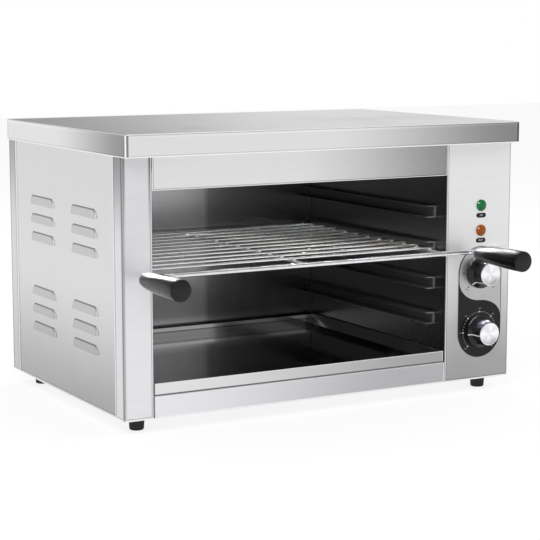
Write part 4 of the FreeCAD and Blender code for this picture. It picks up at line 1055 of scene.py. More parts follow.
@dataclass
class LouvredPanel:
    """Side panel with pressed louvres, open along their lower edges."""

    node: str
    sheet: float = 1.0 * MM
    rise: float = 2.3 * MM
    swell: float = 0.8 * MM
    length: float = 80.0 * MM
    height: float = 12.6 * MM
    corner: float = 8.5 * MM
    rim: float = 2.6 * MM
    low_edge: float = 89.5 * MM
    pitch: float = 25.4 * MM
    group_step: float = 126.5 * MM
    group_count: int = 2
    rows_in_group: int = 3
    column_count: int = 2
    first_column: float = -58.65 * MM
    column_step: float = 144.0 * MM
    turn_in: float = 12.0 * MM
    steps_along: int = 40
    steps_up: int = 12
    near: float = 0.01 * MM

    def build(self, material: bpy.types.Material) -> None:
        """Makes the panel.

        Args:
            material: Its finish.
        """
        low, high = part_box(self.node)
        left = low.x < 0.0
        outward = Vector((-1.0 if left else 1.0, 0.0, 0.0))
        face = low.x + self.rise if left else high.x - self.rise
        shape = Shape()
        shape.mesh.verts.layers.float.new("pressed")
        bmesh.ops.create_grid(shape.mesh, x_segments=1, y_segments=1, size=0.5)
        upright = Matrix.Rotation(QUARTER_TURN, 4, "Y")
        size = Matrix.Diagonal((1.0, high.y - low.y, high.z - low.z, 1.0))
        place = Matrix.Translation((face, (low.y + high.y) / 2.0, (low.z + high.z) / 2.0))
        bmesh.ops.transform(shape.mesh, matrix=place @ size @ upright, verts=shape.mesh.verts)
        rows = []
        for group in range(self.group_count):
            foot = self.low_edge + group * self.group_step
            rows += [foot + number * self.pitch for number in range(self.rows_in_group)]
        numbers = range(self.column_count)
        columns = [self.first_column + number * self.column_step for number in numbers]
        self.pierce(shape, face, columns, rows)
        self.fold_in(shape, low, high, outward)
        for column in columns:
            for row in rows:
                self.press(shape, Vector((face, column, row)), outward)
        for facing in shape.mesh.faces:
            if facing.normal.dot(outward) < -0.5:
                facing.normal_flip()
        bmesh.ops.solidify(shape.mesh, geom=shape.mesh.faces[:], thickness=self.sheet)
        name = self.node + "_louvred"
        shape.finish(name, material, Body.CABINET, "stainless_panel", (self.node,), 50.0)

    def pierce(
        self,
        shape: Shape,
        face: float,
        columns: Sequence[float],
        rows: Sequence[float],
    ) -> None:
        """Cuts the panel along the louvres' borders, and opens it behind them.

        Args:
            shape: The panel.
            face: Its outer face along X.
            columns: The front ends of the louvres along Y.
            rows: Their lower edges along Z.
        """
        cuts = []
        for column in columns:
            ends = (column, column + self.length)
            cuts += [(Vector((face, end, 0.0)), BACKWARD) for end in ends]
        for row in rows:
            ends = (row, row + self.height)
            cuts += [(Vector((face, 0.0, end)), UPWARD) for end in ends]
        for place, across in cuts:
            parts = shape.mesh.verts[:] + shape.mesh.edges[:] + shape.mesh.faces[:]
            bmesh.ops.bisect_plane(shape.mesh, geom=parts, plane_co=place, plane_no=across)
        openings = []
        for facing in shape.mesh.faces:
            middle = facing.calc_center_median()
            in_column = any(column < middle.y < column + self.length for column in columns)
            in_row = any(row < middle.z < row + self.height for row in rows)
            if in_column and in_row:
                openings.append(facing)
        bmesh.ops.delete(shape.mesh, geom=openings, context="FACES")

    def fold_in(self, shape: Shape, low: Vector, high: Vector, outward: Vector) -> None:
        """Folds the panel's outer edges inwards.

        Args:
            shape: The panel.
            low: Lowest corner of its box.
            high: Highest corner of its box.
            outward: The way that it faces.
        """
        sides = ((1, low.y), (1, high.y), (2, low.z), (2, high.z))
        border = []
        for edge in shape.mesh.edges:
            ends = [vert.co for vert in edge.verts]
            for axis, limit in sides:
                if all(abs(end[axis] - limit) < self.near for end in ends):
                    border.append(edge)
                    break
        grown = bmesh.ops.extrude_edge_only(shape.mesh, edges=border)["geom"]
        verts = [part for part in grown if isinstance(part, bmesh.types.BMVert)]
        bmesh.ops.translate(shape.mesh, verts=verts, vec=-outward * self.turn_in)

    def press(self, shape: Shape, corner: Vector, outward: Vector) -> None:
        """Adds one louvre's hood, which swells out from three sides of its opening.

        Args:
            shape: The panel.
            corner: The opening's lower front corner.
            outward: The way that the panel faces.
        """
        half = self.length / 2.0
        place = Matrix.Translation(corner + Vector((0.0, half, self.height / 2.0)))
        size = Matrix.Diagonal((1.0, self.length, self.height, 1.0))
        upright = Matrix.Rotation(QUARTER_TURN, 4, "Y")
        grid = bmesh.ops.create_grid(
            shape.mesh,
            x_segments=self.steps_up,
            y_segments=self.steps_along,
            size=0.5,
            matrix=place @ size @ upright,
        )
        pressed = shape.mesh.verts.layers.float["pressed"]
        for vert in grid["verts"]:
            along = abs(vert.co.y - corner.y - half)
            up = vert.co.z - corner.z
            past_end = max(along - (half - self.corner), 0.0)
            past_top = max(up - (self.height - self.corner), 0.0)
            inside = self.corner - math.hypot(past_end, past_top)
            share = min(max(inside / self.rim, 0.0), 1.0)
            lean = self.rise - self.swell * up / self.height
            vert.co += outward * lean * math.sqrt(1.0 - (1.0 - share) ** 2)
            vert[pressed] = share


@dataclass
class Cavity:
    """Lining, channels, elements and their fittings."""

    lining: Triple = (0.2, 0.2, 0.205)
    sheets: dict[str, tuple[float, tuple[Fade, ...]]] = field(
        default_factory=lambda: {
            "left_liner_wall": (0.24, ()),
            "right_liner_wall": (0.26, ()),
            # Rear wall: painted reflected light at its left, painted shade right and low, painted
            # light at its foot.
            "rear_liner_wall": (
                0.22,
                (
                    Fade(Face.FRONT, Axis.X, 0.57, 0.6, 2.2, 1.2, 8.0 * MM),
                    Fade(Face.FRONT, Axis.X, 0.58, 1.0, 1.0, 0.55, 8.0 * MM),
                    Fade(Face.FRONT, Axis.Z, 0.2, 0.9, 0.72, 1.0, 8.0 * MM),
                    Fade(Face.FRONT, Axis.Z, 0.12, 0.18, 2.2, 1.0, 8.0 * MM),
                ),
            ),
            "cavity_ceiling": (0.2, ()),
            "cavity_floor": (0.2, ()),
            "element_hangers": (0.2, ()),
        }
    )
    # Channels: painted light at their front ends, and painted shade further back on their sides.
    channel_fades: tuple[Fade, ...] = (
        Fade(Face.FRONT, Axis.Y, 0.0, 0.02, 4.5, 1.0, 14.0 * MM),
        Fade(Face.SIDE, Axis.Y, 0.05, 0.4, 0.62, 0.45, 40.0 * MM),
    )

    def build(self) -> None:
        """Dresses the lining and the channels."""
        for node, (gloss, fades) in self.sheets.items():
            finish = SheetFinish(
                self.lining,
                gloss,
                fades=fades,
                # Lining: a painted highlight and a painted shade line at its edges.
                glint=(0.3, 0.3, 0.3),
                crease_shade=0.5,
                fold_highlight_width=0.8 * MM,
            )
            dress_each((node,), finish, "lining_sheet")
        channel = SheetFinish(
            self.lining,
            0.3,
            metal=0.45,
            fades=self.channel_fades,
            # Channels: a painted shade line at their edges, with no painted highlight.
            glint=self.lining,
            metal_glint=0.45,
            crease_shade=0.7,
        )
        dress_each(("left_rack_rails", "right_rack_rails"), channel, "lining_sheet")
        sheath = PlatedFinish((0.2, 0.19, 0.18), 0.38, stain=(0.32, 0.24, 0.17), stain_share=0.5)
        elements = [f"{place}_heating_element" for place in ("front", "middle", "rear")]
        dress_each(elements, sheath, "oxidised_sheath")
        brass = PlatedFinish((0.72, 0.58, 0.3), 0.28, stain=(0.4, 0.3, 0.15))
        dress_each(("element_collars", "element_links"), brass, "turned_brass")
        ceramic = MouldedFinish((0.88, 0.86, 0.8), 0.6, worn=(0.7, 0.64, 0.52), waves=1200.0)
        dress("element_insulators", ceramic.material("unglazed_ceramic"))
        dress("insulation_blanket", FibreFinish((0.85, 0.83, 0.78)).material("fibre_mat"))
        copper = PlatedFinish((0.68, 0.42, 0.3), 0.25, stain=(0.35, 0.18, 0.12))
        dress_each(("thermostat_bulb", "thermostat_capillary"), copper, "drawn_copper")


@dataclass
class Rack:
    """Wire rack with its welds and grips."""

    chrome: Triple = (0.8, 0.8, 0.81)
    bead: float = 2.0 * MM
    cross_wires: int = 11
    grip_rear: float = 8.5 * MM
    grip_middle: float = 12.95 * MM
    grip_front: float = 14.0 * MM
    grip_nose: float = 1.2 * MM
    grip_edge: float = 2.4 * MM
    bore: float = 3.6 * MM
    bore_depth: float = 14.0 * MM
    runners: tuple[str, ...] = ("rack_left_wire", "rack_middle_wire", "rack_right_wire")
    crossing: tuple[str, ...] = ("rack_front_bar", "rack_cross_wires")
    cross_weld: Triple = (1.1, 2.4, 1.1)
    bar_weld: Triple = (1.6, 1.6, 1.5)
    grip_steps: int = 96

    def build(self) -> None:
        """Makes the welds and grips, and dresses the wires."""
        chrome = PlatedFinish(
            self.chrome,
            0.18,
            stain=(0.45, 0.44, 0.42),
            stain_share=0.12,
            waves=1500.0,
        )
        dress_each(self.crossing, chrome, "bright_chrome")
        frosted = PlatedFinish(
            (0.9, 0.9, 0.9),
            0.2,
            0.6,
            stain=(0.6, 0.6, 0.58),
            stain_share=0.12,
        )
        dress_each(self.runners, frosted, "bright_chrome")
        # Each weld bead is painted pale and less metallic, to show as a bright highlight.
        beads = PlatedFinish(
            (0.97, 0.97, 0.97),
            0.3,
            0.25,
            stain=(0.8, 0.8, 0.78),
            stain_share=0.12,
        )
        self.welds(beads.material("pale_highlight_chrome.rack_welds"))
        for node in (*self.crossing, *self.runners):
            GLOSS_GROUPS[Gloss.WIRES].objects.link(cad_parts[node])
        black = MouldedFinish(
            (0.006, 0.006, 0.0065),
            0.15,
            worn=(0.012, 0.012, 0.013),
            shine=0.3,
            depth=0.002 * MM,
        )
        for side in ("left", "right"):
            self.grip(side, black.material(f"glossy_grip.{side}"))

    def welds(self, material: bpy.types.Material) -> None:
        """Makes a bead where each cross wire crosses a runner, and where a runner meets the bar.

        Args:
            material: The beads' finish.
        """
        low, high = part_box("rack_cross_wires")
        wire = (high.z - low.z) / 2.0
        first = low.y + wire
        pitch = (high.y - low.y - 2.0 * wire) / (self.cross_wires - 1)
        shape = Shape()
        for runner in self.runners:
            middle = box_middle(runner)
            for number in range(self.cross_wires):
                place = Vector((middle.x, first + number * pitch, low.z))
                shape.bead(place, Vector(self.cross_weld) * self.bead)
            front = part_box(runner)[0].y
            place = Vector((middle.x, front + self.bead, middle.z))
            shape.bead(place, Vector(self.bar_weld) * self.bead)
        shape.finish("rack_welds", material, Body.RACK, "rack_chrome", gloss=Gloss.WIRES)

    def grip(self, side: str, material: bpy.types.Material) -> None:
        """Turns one grip, with its moulded end ring.

        Args:
            side: Left or right.
            material: The grip's finish.
        """
        node = f"{side}_handle_grip"
        low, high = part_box(node)
        middle = (low + high) / 2.0
        length = high.y - low.y
        rear = Vector((middle.x, high.y, middle.z))
        end = length - self.grip_nose
        profile = (
            (self.bore_depth, 0.0),
            (self.bore_depth, self.bore),
            (0.0, self.bore),
            (0.0, self.grip_rear - 0.8 * MM),
            (0.8 * MM, self.grip_rear),
            (0.08 * length, self.grip_rear + 1.4 * MM),
            (0.18 * length, self.grip_rear + 2.5 * MM),
            (0.32 * length, self.grip_middle - 0.85 * MM),
            (0.48 * length, self.grip_middle),
            (0.64 * length, self.grip_middle + 0.6 * MM),
            (0.8 * length, self.grip_front - 0.1 * MM),
            (end - self.grip_edge, self.grip_front),
            (end - 0.7 * self.grip_edge, self.grip_front - 0.12 * MM),
            (end - 0.3 * self.grip_edge, self.grip_front - 0.65 * MM),
            (end - 0.05 * self.grip_edge, self.grip_front - 1.5 * MM),
            (end, self.grip_front - 2.3 * MM),
            (end + 0.5 * self.grip_nose, 0.6 * self.grip_front),
            (length - 0.1 * MM, 0.25 * self.grip_front),
            (length, 0.0),
        )
        shape = Shape()
        shape.lathe(rear, FORWARD, profile, self.grip_steps)
        shape.finish(
            node + "_turned",
            material,
            Body.RACK,
            "grip_plastic",
            (node,),
            smooth=50.0,
            gloss=Gloss.GRIPS,
        )


@dataclass
class CrumbTray:
    """Pressed tray, with painted light and shade, and a painted highlight on its rear lip."""

    steel: Triple = (0.55, 0.55, 0.555)
    gloss: float = 0.08

    def build(self) -> None:
        """Dresses the tray."""
        finish = SheetFinish(
            self.steel,
            self.gloss,
            fades=(
                # Painted light to the front's left and shade to its right, and painted shade to the
                # sides' rear.
                Fade(Face.FRONT, Axis.X, 0.0, 1.0, 1.38, 0.66, 1.6 * MM),
                Fade(Face.SIDE, Axis.Y, 0.0, 0.12, 1.0, 0.35, 12.0 * MM),
                # A painted shade line, then a painted highlight on the rear lip.
                Fade(Face.REAR, Axis.Z, 0.5, 0.58, 0.75, 0.35, 3.0 * MM),
                Fade(Face.REAR, Axis.Z, 0.62, 0.7, 1.0, 3.4, 3.0 * MM),
            ),
            shadows=(
                # Painted shade in the gaps under the lip and at its left end.
                Fade(Face.FRONT, Axis.Z, 0.02, 0.1, 0.08, 1.0, 1.6 * MM),
                Fade(Face.FRONT, Axis.X, 0.0, 0.004, 0.2, 1.0, 1.6 * MM),
            ),
            fold_highlight_width=0.7 * MM,
            crease_shade=1.0,
        )
        dress("crumb_tray", finish.material("pressed_tray", "crumb_tray"))


@dataclass
class Dial:
    """Marks printed round one knob."""

    node: str
    ink: Triple
    dot_radius: float = 28.0 * MM
    dot: float = 0.9 * MM
    word_radius: float = 32.6 * MM
    word_height: float = 3.2 * MM
    tick_length: float = 0.9 * MM
    tick_width: float = 0.9 * MM
    arc_width: float = 0.35 * MM
    depth: float = 0.12 * MM
    word_ink: Triple = (0.26, 0.26, 0.26)
    words: dict[str, float] = field(default_factory=dict)
    dots: tuple[float, ...] = ()
    ticks: int = 0
    arc: Optional[Pair] = None

    def build(self, front: float) -> None:
        """Makes the print.

        Args:
            front: The face that it is printed on, along Y.
        """
        middle = box_middle(self.node)
        centre = Vector((middle.x, front, middle.z))
        shape = Shape()
        for degrees in self.dots:
            shape.disc(dial_place(centre, self.dot_radius, degrees), self.dot, self.depth)
        letters = Shape()
        for word, degrees in self.words.items():
            place = dial_place(centre, self.word_radius, degrees)
            letters.words(word, self.word_height, self.depth, place)
        for first, second in zip(self.dots[1:], self.dots[2:]):
            for number in range(1, self.ticks + 1):
                degrees = first + (second - first) * number / (self.ticks + 1)
                place = dial_place(centre, self.dot_radius, degrees)
                size = Vector((self.tick_width, self.depth, self.tick_length))
                shape.block(place, size, math.radians(degrees))
        if self.arc:
            letters.arc(centre, self.dot_radius, self.arc_width, self.depth, *self.arc)
        ink = MouldedFinish(self.ink, 0.4, worn=self.ink, waves=3000.0)
        material = ink.material(f"dial_ink.{self.node}")
        shape.finish(f"{self.node}_dial", material, Body.CABINET, "faceplate_print")
        pale = MouldedFinish(self.word_ink, 0.4, worn=self.word_ink, waves=3000.0)
        material = pale.material(f"number_ink.{self.node}")
        letters.finish(f"{self.node}_numbers", material, Body.CABINET, "faceplate_print")


@dataclass
class Knob:
    """Fluted knob with a painted pointer and a spun cap."""

    node: str
    body: Body
    pointer: float
    skirt: float = 22.5 * MM
    skirt_depth: float = 4.0 * MM
    slope: float = 2.5 * MM
    barrel: float = 17.5 * MM
    flutes: int = 8
    flute_depth: float = 1.5 * MM
    flute_gap: float = 0.1
    flute_round: float = 0.8
    steps: int = 192
    cap_steps: int = 96
    cap_dish: float = 0.5 * MM
    line_width: float = 1.5 * MM
    line_depth: float = 0.18 * MM
    back: Vector = field(init=False)
    height: float = field(init=False)

    def build(self) -> None:
        """Makes the knob, its pointer and its cap."""
        low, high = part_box(self.node)
        middle = (low + high) / 2.0
        self.back = Vector((middle.x, high.y, middle.z))
        self.height = high.y - low.y
        black = MouldedFinish(
            (0.006, 0.006, 0.007),
            0.16,
            worn=(0.012, 0.012, 0.013),
            shine=0.35,
            depth=0.002 * MM,
        )
        self.handle(black.material(f"glossy_knob.{self.node}"))
        white = MouldedFinish((0.86, 0.86, 0.85), 0.35, worn=(0.7, 0.7, 0.68), waves=3000.0)
        self.line(white.material(f"pointer_paint.{self.node}"))
        self.cap()

    def outline(self) -> tuple[Pair, ...]:
        """Gives the knob's outer profile from its skirt to its front.

        Returns:
            The profile's (along, radius) points.
        """
        step = self.skirt_depth + self.slope
        return (
            (0.0, self.skirt - 0.5 * MM),
            (0.5 * MM, self.skirt),
            (self.skirt_depth - 0.6 * MM, self.skirt),
            (self.skirt_depth, self.skirt - 0.5 * MM),
            (step - 0.5 * MM, self.barrel + 0.7 * MM),
            (step + 0.6 * MM, self.barrel + 0.1 * MM),
            (self.height - 0.8 * MM, self.barrel - 0.5 * MM),
            (self.height, self.barrel - 1.3 * MM),
        )

    def handle(self, material: bpy.types.Material) -> None:
        """Turns the knob and presses its flutes in.

        Args:
            material: The knob's finish.
        """
        rim = self.outline()
        hollow = self.skirt - 2.5 * MM
        shape = Shape()
        back = ((1.5 * MM, 0.0), (1.5 * MM, hollow), (0.0, hollow))
        shape.lathe(self.back, FORWARD, (*back, *rim, (self.height, 0.0)), self.steps)
        start = self.skirt_depth + self.slope
        for vert in shape.mesh.verts:
            reach = self.back.y - vert.co.y
            across = Vector((vert.co.x - self.back.x, 0.0, vert.co.z - self.back.z))
            if reach < start or across.length < self.barrel - 2.0 * MM:
                continue
            wave = math.cos(self.flutes * math.atan2(across.x, across.z))
            press = max(0.0, (wave - self.flute_gap) / (1.0 - self.flute_gap))
            vert.co -= across.normalized() * self.flute_depth * press ** self.flute_round
        shape.finish(
            self.node + "_fluted",
            material,
            self.body,
            "knob_plastic",
            (self.node,),
            gloss=Gloss.GRIPS,
        )

    def line(self, material: bpy.types.Material) -> None:
        """Lays the pointer line over the skirt and up the barrel.

        Args:
            material: The line's paint.
        """
        angle = math.radians(self.pointer)
        outward = Vector((math.sin(angle), 0.0, math.cos(angle)))
        across = Vector((math.cos(angle), 0.0, -math.sin(angle)))
        shape = Shape()
        path = [*self.outline()[2:], (self.height, self.barrel - 1.5 * MM)]
        ends = []
        for side in (-0.5, 0.5):
            reach, radius = path[0]
            start = self.back + outward * (radius + self.line_depth) + Vector((0.0, -reach, 0.0))
            ends.append(shape.mesh.verts.new(start + across * self.line_width * side))
        edge = shape.mesh.edges.new(ends)
        for (reach, radius), (next_reach, next_radius) in zip(path, path[1:]):
            grown = bmesh.ops.extrude_edge_only(shape.mesh, edges=[edge])["geom"]
            edge = next(part for part in grown if isinstance(part, bmesh.types.BMEdge))
            moved = outward * (next_radius - radius) + Vector((0.0, reach - next_reach, 0.0))
            bmesh.ops.translate(shape.mesh, verts=list(edge.verts), vec=moved)
        bmesh.ops.recalc_face_normals(shape.mesh, faces=shape.mesh.faces)
        bmesh.ops.solidify(shape.mesh, geom=shape.mesh.faces[:], thickness=self.line_depth)
        bmesh.ops.recalc_face_normals(shape.mesh, faces=shape.mesh.faces)
        shape.finish(self.node + "_pointer", material, self.body, "label_plastic")

    def cap(self) -> None:
        """Turns the spun cap."""
        node = self.node + "_cap"
        low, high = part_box(node)
        middle = (low + high) / 2.0
        radius = (high.x - low.x) / 2.0
        depth = high.y - low.y
        profile = (
            (0.0, 0.0),
            (0.0, radius - 0.3 * MM),
            (0.3 * MM, radius),
            (depth - 0.4 * MM, radius),
            (depth, radius - 0.5 * MM),
            (depth, radius - 1.2 * MM),
            (depth - 0.25 * MM, radius - 1.6 * MM),
            (depth - self.cap_dish, 0.3 * radius),
            (depth - self.cap_dish, 0.0),
        )
        shape = Shape()
        shape.lathe(Vector((middle.x, high.y, middle.z)), FORWARD, profile, self.cap_steps)
        finish = SpunFinish((0.95, 0.95, 0.985), 0.2, centre=tuple(middle))
        material = finish.material(f"spun_cap.{self.node}")
        shape.finish(node + "_spun", material, self.body, "cap_aluminium", (node,))


@dataclass
class Lamp:
    """Pilot lamp: domed lens on a flange."""

    node: str
    label: str
    word: str
    finish: LensFinish
    slot: str
    neck_radius: float = 5.4 * MM
    dome: float = 6.9 * MM
    dome_height: float = 3.6 * MM
    flange: float = 1.4 * MM
    steps: int = 48
    word_height: float = 3.4 * MM
    print_depth: float = 0.1 * MM

    def build(self, panel: float) -> None:
        """Makes the lens and the word on its label.

        Args:
            panel: The control panel's face, along Y.
        """
        low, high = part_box(self.node)
        middle = (low + high) / 2.0
        radius = (high.x - low.x) / 2.0
        neck = (high.y - panel) - 0.6 * MM
        top = self.flange + self.dome_height
        profile = (
            (-neck, 0.0),
            (-neck, self.neck_radius),
            (0.0, self.neck_radius),
            (0.0, radius - 0.2 * MM),
            (0.3 * MM, radius),
            (self.flange - 0.4 * MM, radius),
            (self.flange, self.dome + 0.4 * MM),
            (self.flange + 0.3 * MM, self.dome),
            (self.flange + 0.45 * self.dome_height, self.dome * 0.9),
            (self.flange + 0.8 * self.dome_height, self.dome * 0.66),
            (top - 0.1 * self.dome_height, self.dome * 0.4),
            (top, self.dome * 0.18),
            (top, 0.0),
        )
        shape = Shape()
        centre = Vector((middle.x, panel, middle.z))
        shape.lathe(centre, FORWARD, profile, self.steps)
        shape.finish(
            self.node + "_domed",
            self.finish.material(f"tinted_lens.{self.node}"),
            Body.CABINET,
            self.slot,
            (self.node,),
            smooth=30.0,
            gloss=Gloss.LENSES,
        )
        word = Shape()
        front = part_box(self.label)[0].y
        place = box_middle(self.label)
        place.y = front
        word.words(self.word, self.word_height, self.print_depth, place)
        ink = MouldedFinish((0.8, 0.8, 0.8), 0.4, worn=(0.7, 0.7, 0.7))
        material = ink.material(f"label_ink.{self.label}")
        word.finish(self.label + "_word", material, Body.CABINET, "label_plastic")


@dataclass
class Controls:
    """Faceplate, dials, knobs, pilot lamps and labels."""

    border_left: float = 141.0 * MM
    border_middle: float = 112.5 * MM
    border_right: float = 89.0 * MM
    case_bottom: float = 18.0 * MM
    rim: float = 1.1 * MM
    inlay: float = 0.1 * MM
    silver: Triple = (0.5, 0.5, 0.505)

    def build(self) -> None:
        """Makes and dresses the controls."""
        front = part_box("control_faceplate")[0].y
        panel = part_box("control_faceplate")[1].y
        print_face = MouldedFinish(
            (0.008, 0.008, 0.009),
            0.2,
            worn=(0.014, 0.014, 0.015),
            shine=0.22,
            depth=0.004 * MM,
        )
        dress("control_faceplate", print_face.material("printed_plate"))
        dress_each(("power_label", "heat_label"), print_face, "printed_label")
        self.silver_part(front)
        marks = {str(50 * number): 45.0 * number - 135.0 for number in range(1, 7)}
        marks["OFF"] = -135.0
        lower = Dial(
            "temperature_knob",
            (0.8, 0.8, 0.8),
            dot=1.15 * MM,
            words=marks,
            dots=tuple(sorted(marks.values())),
            ticks=4,
            arc=(-131.0, -94.0),
        )
        lower.build(front)
        upper = Dial(
            "power_knob",
            (0.015, 0.015, 0.015),
            dot=1.15 * MM,
            word_ink=(0.03, 0.03, 0.03),
            words={"OFF": -135.0, "ON": 135.0},
            dots=(-135.0, -90.0, 135.0),
        )
        upper.build(front - self.inlay)
        Knob("power_knob", Body.POWER_KNOB, -135.0).build()
        Knob("temperature_knob", Body.TEMPERATURE_KNOB, -97.0).build()
        green = LensFinish((0.012, 0.27, 0.065), 0.09, deep=(0.006, 0.14, 0.035))
        orange = LensFinish((0.52, 0.14, 0.003), 0.09, deep=(0.3, 0.06, 0.002))
        Lamp("power_lamp_lens", "power_label", "ON", green, "green_lens").build(panel)
        Lamp("heat_lamp_lens", "heat_label", "HEAT", orange, "orange_lens").build(panel)
        body = MouldedFinish((0.82, 0.82, 0.78), 0.5, worn=(0.6, 0.6, 0.56))
        dress_each(("power_switch", "thermostat", "lamp_holders"), body, "moulded_control")

    def silver_part(self, front: float) -> None:
        """Lays the silver part of the faceplate's print, down to its curved border.

        Args:
            front: The faceplate's front, along Y.
        """
        low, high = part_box("control_faceplate")
        middle = (low.x + high.x) / 2.0
        radius = (high.x - low.x) / 2.0 - self.rim
        top = high.z - self.rim
        left = self.border_left + self.case_bottom
        centre = self.border_middle + self.case_bottom
        right = self.border_right + self.case_bottom
        bow = ARC_HANDLE * radius
        left_bow = ARC_HANDLE * (centre - left)
        right_bow = ARC_HANDLE * (centre - right)
        points = (
            ((-radius, left), (-radius, left + left_bow), (-radius, left + MM)),
            ((-radius, top - radius), (-radius, top - radius - MM), (-radius, top - radius + bow)),
            ((0.0, top), (-bow, top), (bow, top)),
            ((radius, top - radius), (radius, top - radius + bow), (radius, top - radius - MM)),
            ((radius, right), (radius, right + MM), (radius, right + right_bow)),
            ((0.0, centre), (bow, centre), (-bow, centre)),
        )
        curve = bpy.data.curves.new("silver_part", "CURVE")
        curve.dimensions = "2D"
        curve.fill_mode = "BOTH"
        curve.extrude = self.inlay / 2.0
        spline = curve.splines.new("BEZIER")
        spline.bezier_points.add(len(points) - 1)
        spline.use_cyclic_u = True
        for point, (place, before, after) in zip(spline.bezier_points, points):
            point.handle_left_type = "FREE"
            point.handle_right_type = "FREE"
            point.co = (*place, 0.0)
            point.handle_left = (*before, 0.0)
            point.handle_right = (*after, 0.0)
        shape = Shape()
        shape.outline(curve, Matrix.Translation((middle, front - self.inlay / 2.0, 0.0)))
        bpy.data.curves.remove(curve)
        silver = PlatedFinish(self.silver, 0.3, stain=(0.4, 0.4, 0.4), waves=2500.0)
        material = silver.material("silver_print")
        shape.finish("faceplate_silver_part", material, Body.CABINET, "faceplate_print")


@dataclass
class Supply:
    """Gland, terminal block, leads, screws and nuts."""

    thread: float = 8.0 * MM
    bore: float = 4.5 * MM
    flange: float = 5.0 * MM
    nose: float = 8.0 * MM
    groove: float = 0.5 * MM
    ribs: int = 24
    steps_per_rib: int = 6

    def build(self) -> None:
        """Dresses the supply side and the fasteners. The terminal block keeps the pack's look."""
        zinc = PlatedFinish((0.62, 0.63, 0.64), 0.25, stain=(0.5, 0.47, 0.38))
        plated = (
            "element_studs",
            "control_screws",
            "foot_screws",
            "foot_nuts",
            "cover_screws",
            "bulb_clips",
            "power_knob_shaft",
            "temperature_knob_shaft",
        )
        dress_each(plated, zinc, "zinc_plate")
        nylon = MouldedFinish((0.03, 0.03, 0.032), 0.35, worn=(0.06, 0.06, 0.06))
        dress("gland_locknut", nylon.material("moulded_nylon.gland_locknut"))
        self.gland(nylon.material("moulded_nylon.cable_gland"))
        sleeve = MouldedFinish((0.55, 0.09, 0.06), 0.5, worn=(0.42, 0.07, 0.05), waves=900.0)
        dress_each(("element_leads", "control_leads"), sleeve, "silicone_sleeve")

    def gland(self, material: bpy.types.Material) -> None:
        """Turns the cable gland, with a hexagon flange and a ribbed nut.

        Args:
            material: Its finish.
        """
        low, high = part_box("cable_gland")
        middle = (low + high) / 2.0
        radius = (high.x - low.x) / 2.0
        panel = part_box("rear_panel")[1].y
        thread = low.y - panel
        reach = high.y - panel
        nut = self.flange + 1.2 * MM
        profile = (
            (thread, self.bore),
            (thread, self.thread),
            (0.0, self.thread),
            (0.0, radius - 0.4 * MM),
            (0.4 * MM, radius),
            (self.flange - 0.4 * MM, radius),
            (self.flange, radius - 0.4 * MM),
            (self.flange, radius - 1.6 * MM),
            (nut, radius - 1.6 * MM),
            (nut, radius - 0.6 * MM),
            (nut + 0.6 * (reach - nut), radius - 1.0 * MM),
            (reach - 1.5 * MM, self.nose + 0.9 * MM),
            (reach - 0.4 * MM, self.nose - 0.4 * MM),
            (reach, self.nose - 1.2 * MM),
            (reach, self.bore),
            (thread, self.bore),
        )
        shape = Shape()
        centre = Vector((middle.x, panel, middle.z))
        shape.lathe(centre, BACKWARD, profile, self.ribs * self.steps_per_rib)
        sixth = FULL_TURN / 6.0
        for vert in shape.mesh.verts:
            across = Vector((vert.co.x - middle.x, 0.0, vert.co.z - middle.z))
            along = vert.co.y - panel
            angle = math.atan2(across.x, across.z)
            if across.length > radius - 1.0 * MM and along < self.flange + 0.1 * MM:
                flat = math.cos(sixth / 2.0) / math.cos((angle % sixth) - sixth / 2.0)
                vert.co -= across * (1.0 - flat)
            elif across.length > self.nose + 0.5 * MM and nut - 0.1 * MM < along < reach - 1.0 * MM:
                wave = 0.5 + 0.5 * math.cos(self.ribs * angle)
                vert.co -= across.normalized() * self.groove * wave ** 3
        name = "cable_gland_ribbed"
        shape.finish(name, material, Body.CABINET, "gland_nylon", ("cable_gland",), 30.0)


@dataclass
class Feet:
    """Tapered rubber feet, each with a recess for its screw."""

    top: float = 11.0 * MM
    base: float = 9.5 * MM
    edge: float = 1.4 * MM
    recess_radius: float = 5.5 * MM
    recess: float = 8.0 * MM
    bore: float = 2.6 * MM

    def build(self) -> None:
        """Turns the four feet, which keep the pack's rubber."""
        low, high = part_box("rubber_feet")
        height = high.z - low.z
        profile = (
            (height, self.bore),
            (height, self.top - 0.3 * MM),
            (height - 0.3 * MM, self.top),
            (height - 2.0 * MM, self.top - 0.15 * MM),
            (0.5 * height, self.top - 1.1 * MM),
            (self.edge + 1.0 * MM, self.base),
            (self.edge, self.base - 0.05 * MM),
            (0.3 * self.edge, self.base - 0.45 * self.edge),
            (0.0, self.base - self.edge),
            (0.0, self.recess_radius + 0.5 * MM),
            (0.5 * MM, self.recess_radius),
            (self.recess, self.recess_radius),
            (self.recess, self.bore),
            (height, self.bore),
        )
        shape = Shape()
        for x in (low.x + self.top, high.x - self.top):
            for y in (low.y + self.top, high.y - self.top):
                shape.lathe(Vector((x, y, low.z)), UPWARD, profile)
        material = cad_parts["rubber_feet"].material_slots[0].material
        name = "rubber_feet_turned"
        shape.finish(name, material, Body.CABINET, "foot_rubber", ("rubber_feet",), 40.0)


@dataclass(frozen=True)
class SoftPanel:
    """Lamp panel. One for gloss shows only in its group's pieces, and nothing else shades it."""

    name: str
    place: Triple
    size: Pair
    radiance: float
    for_gloss: Optional[Gloss] = None


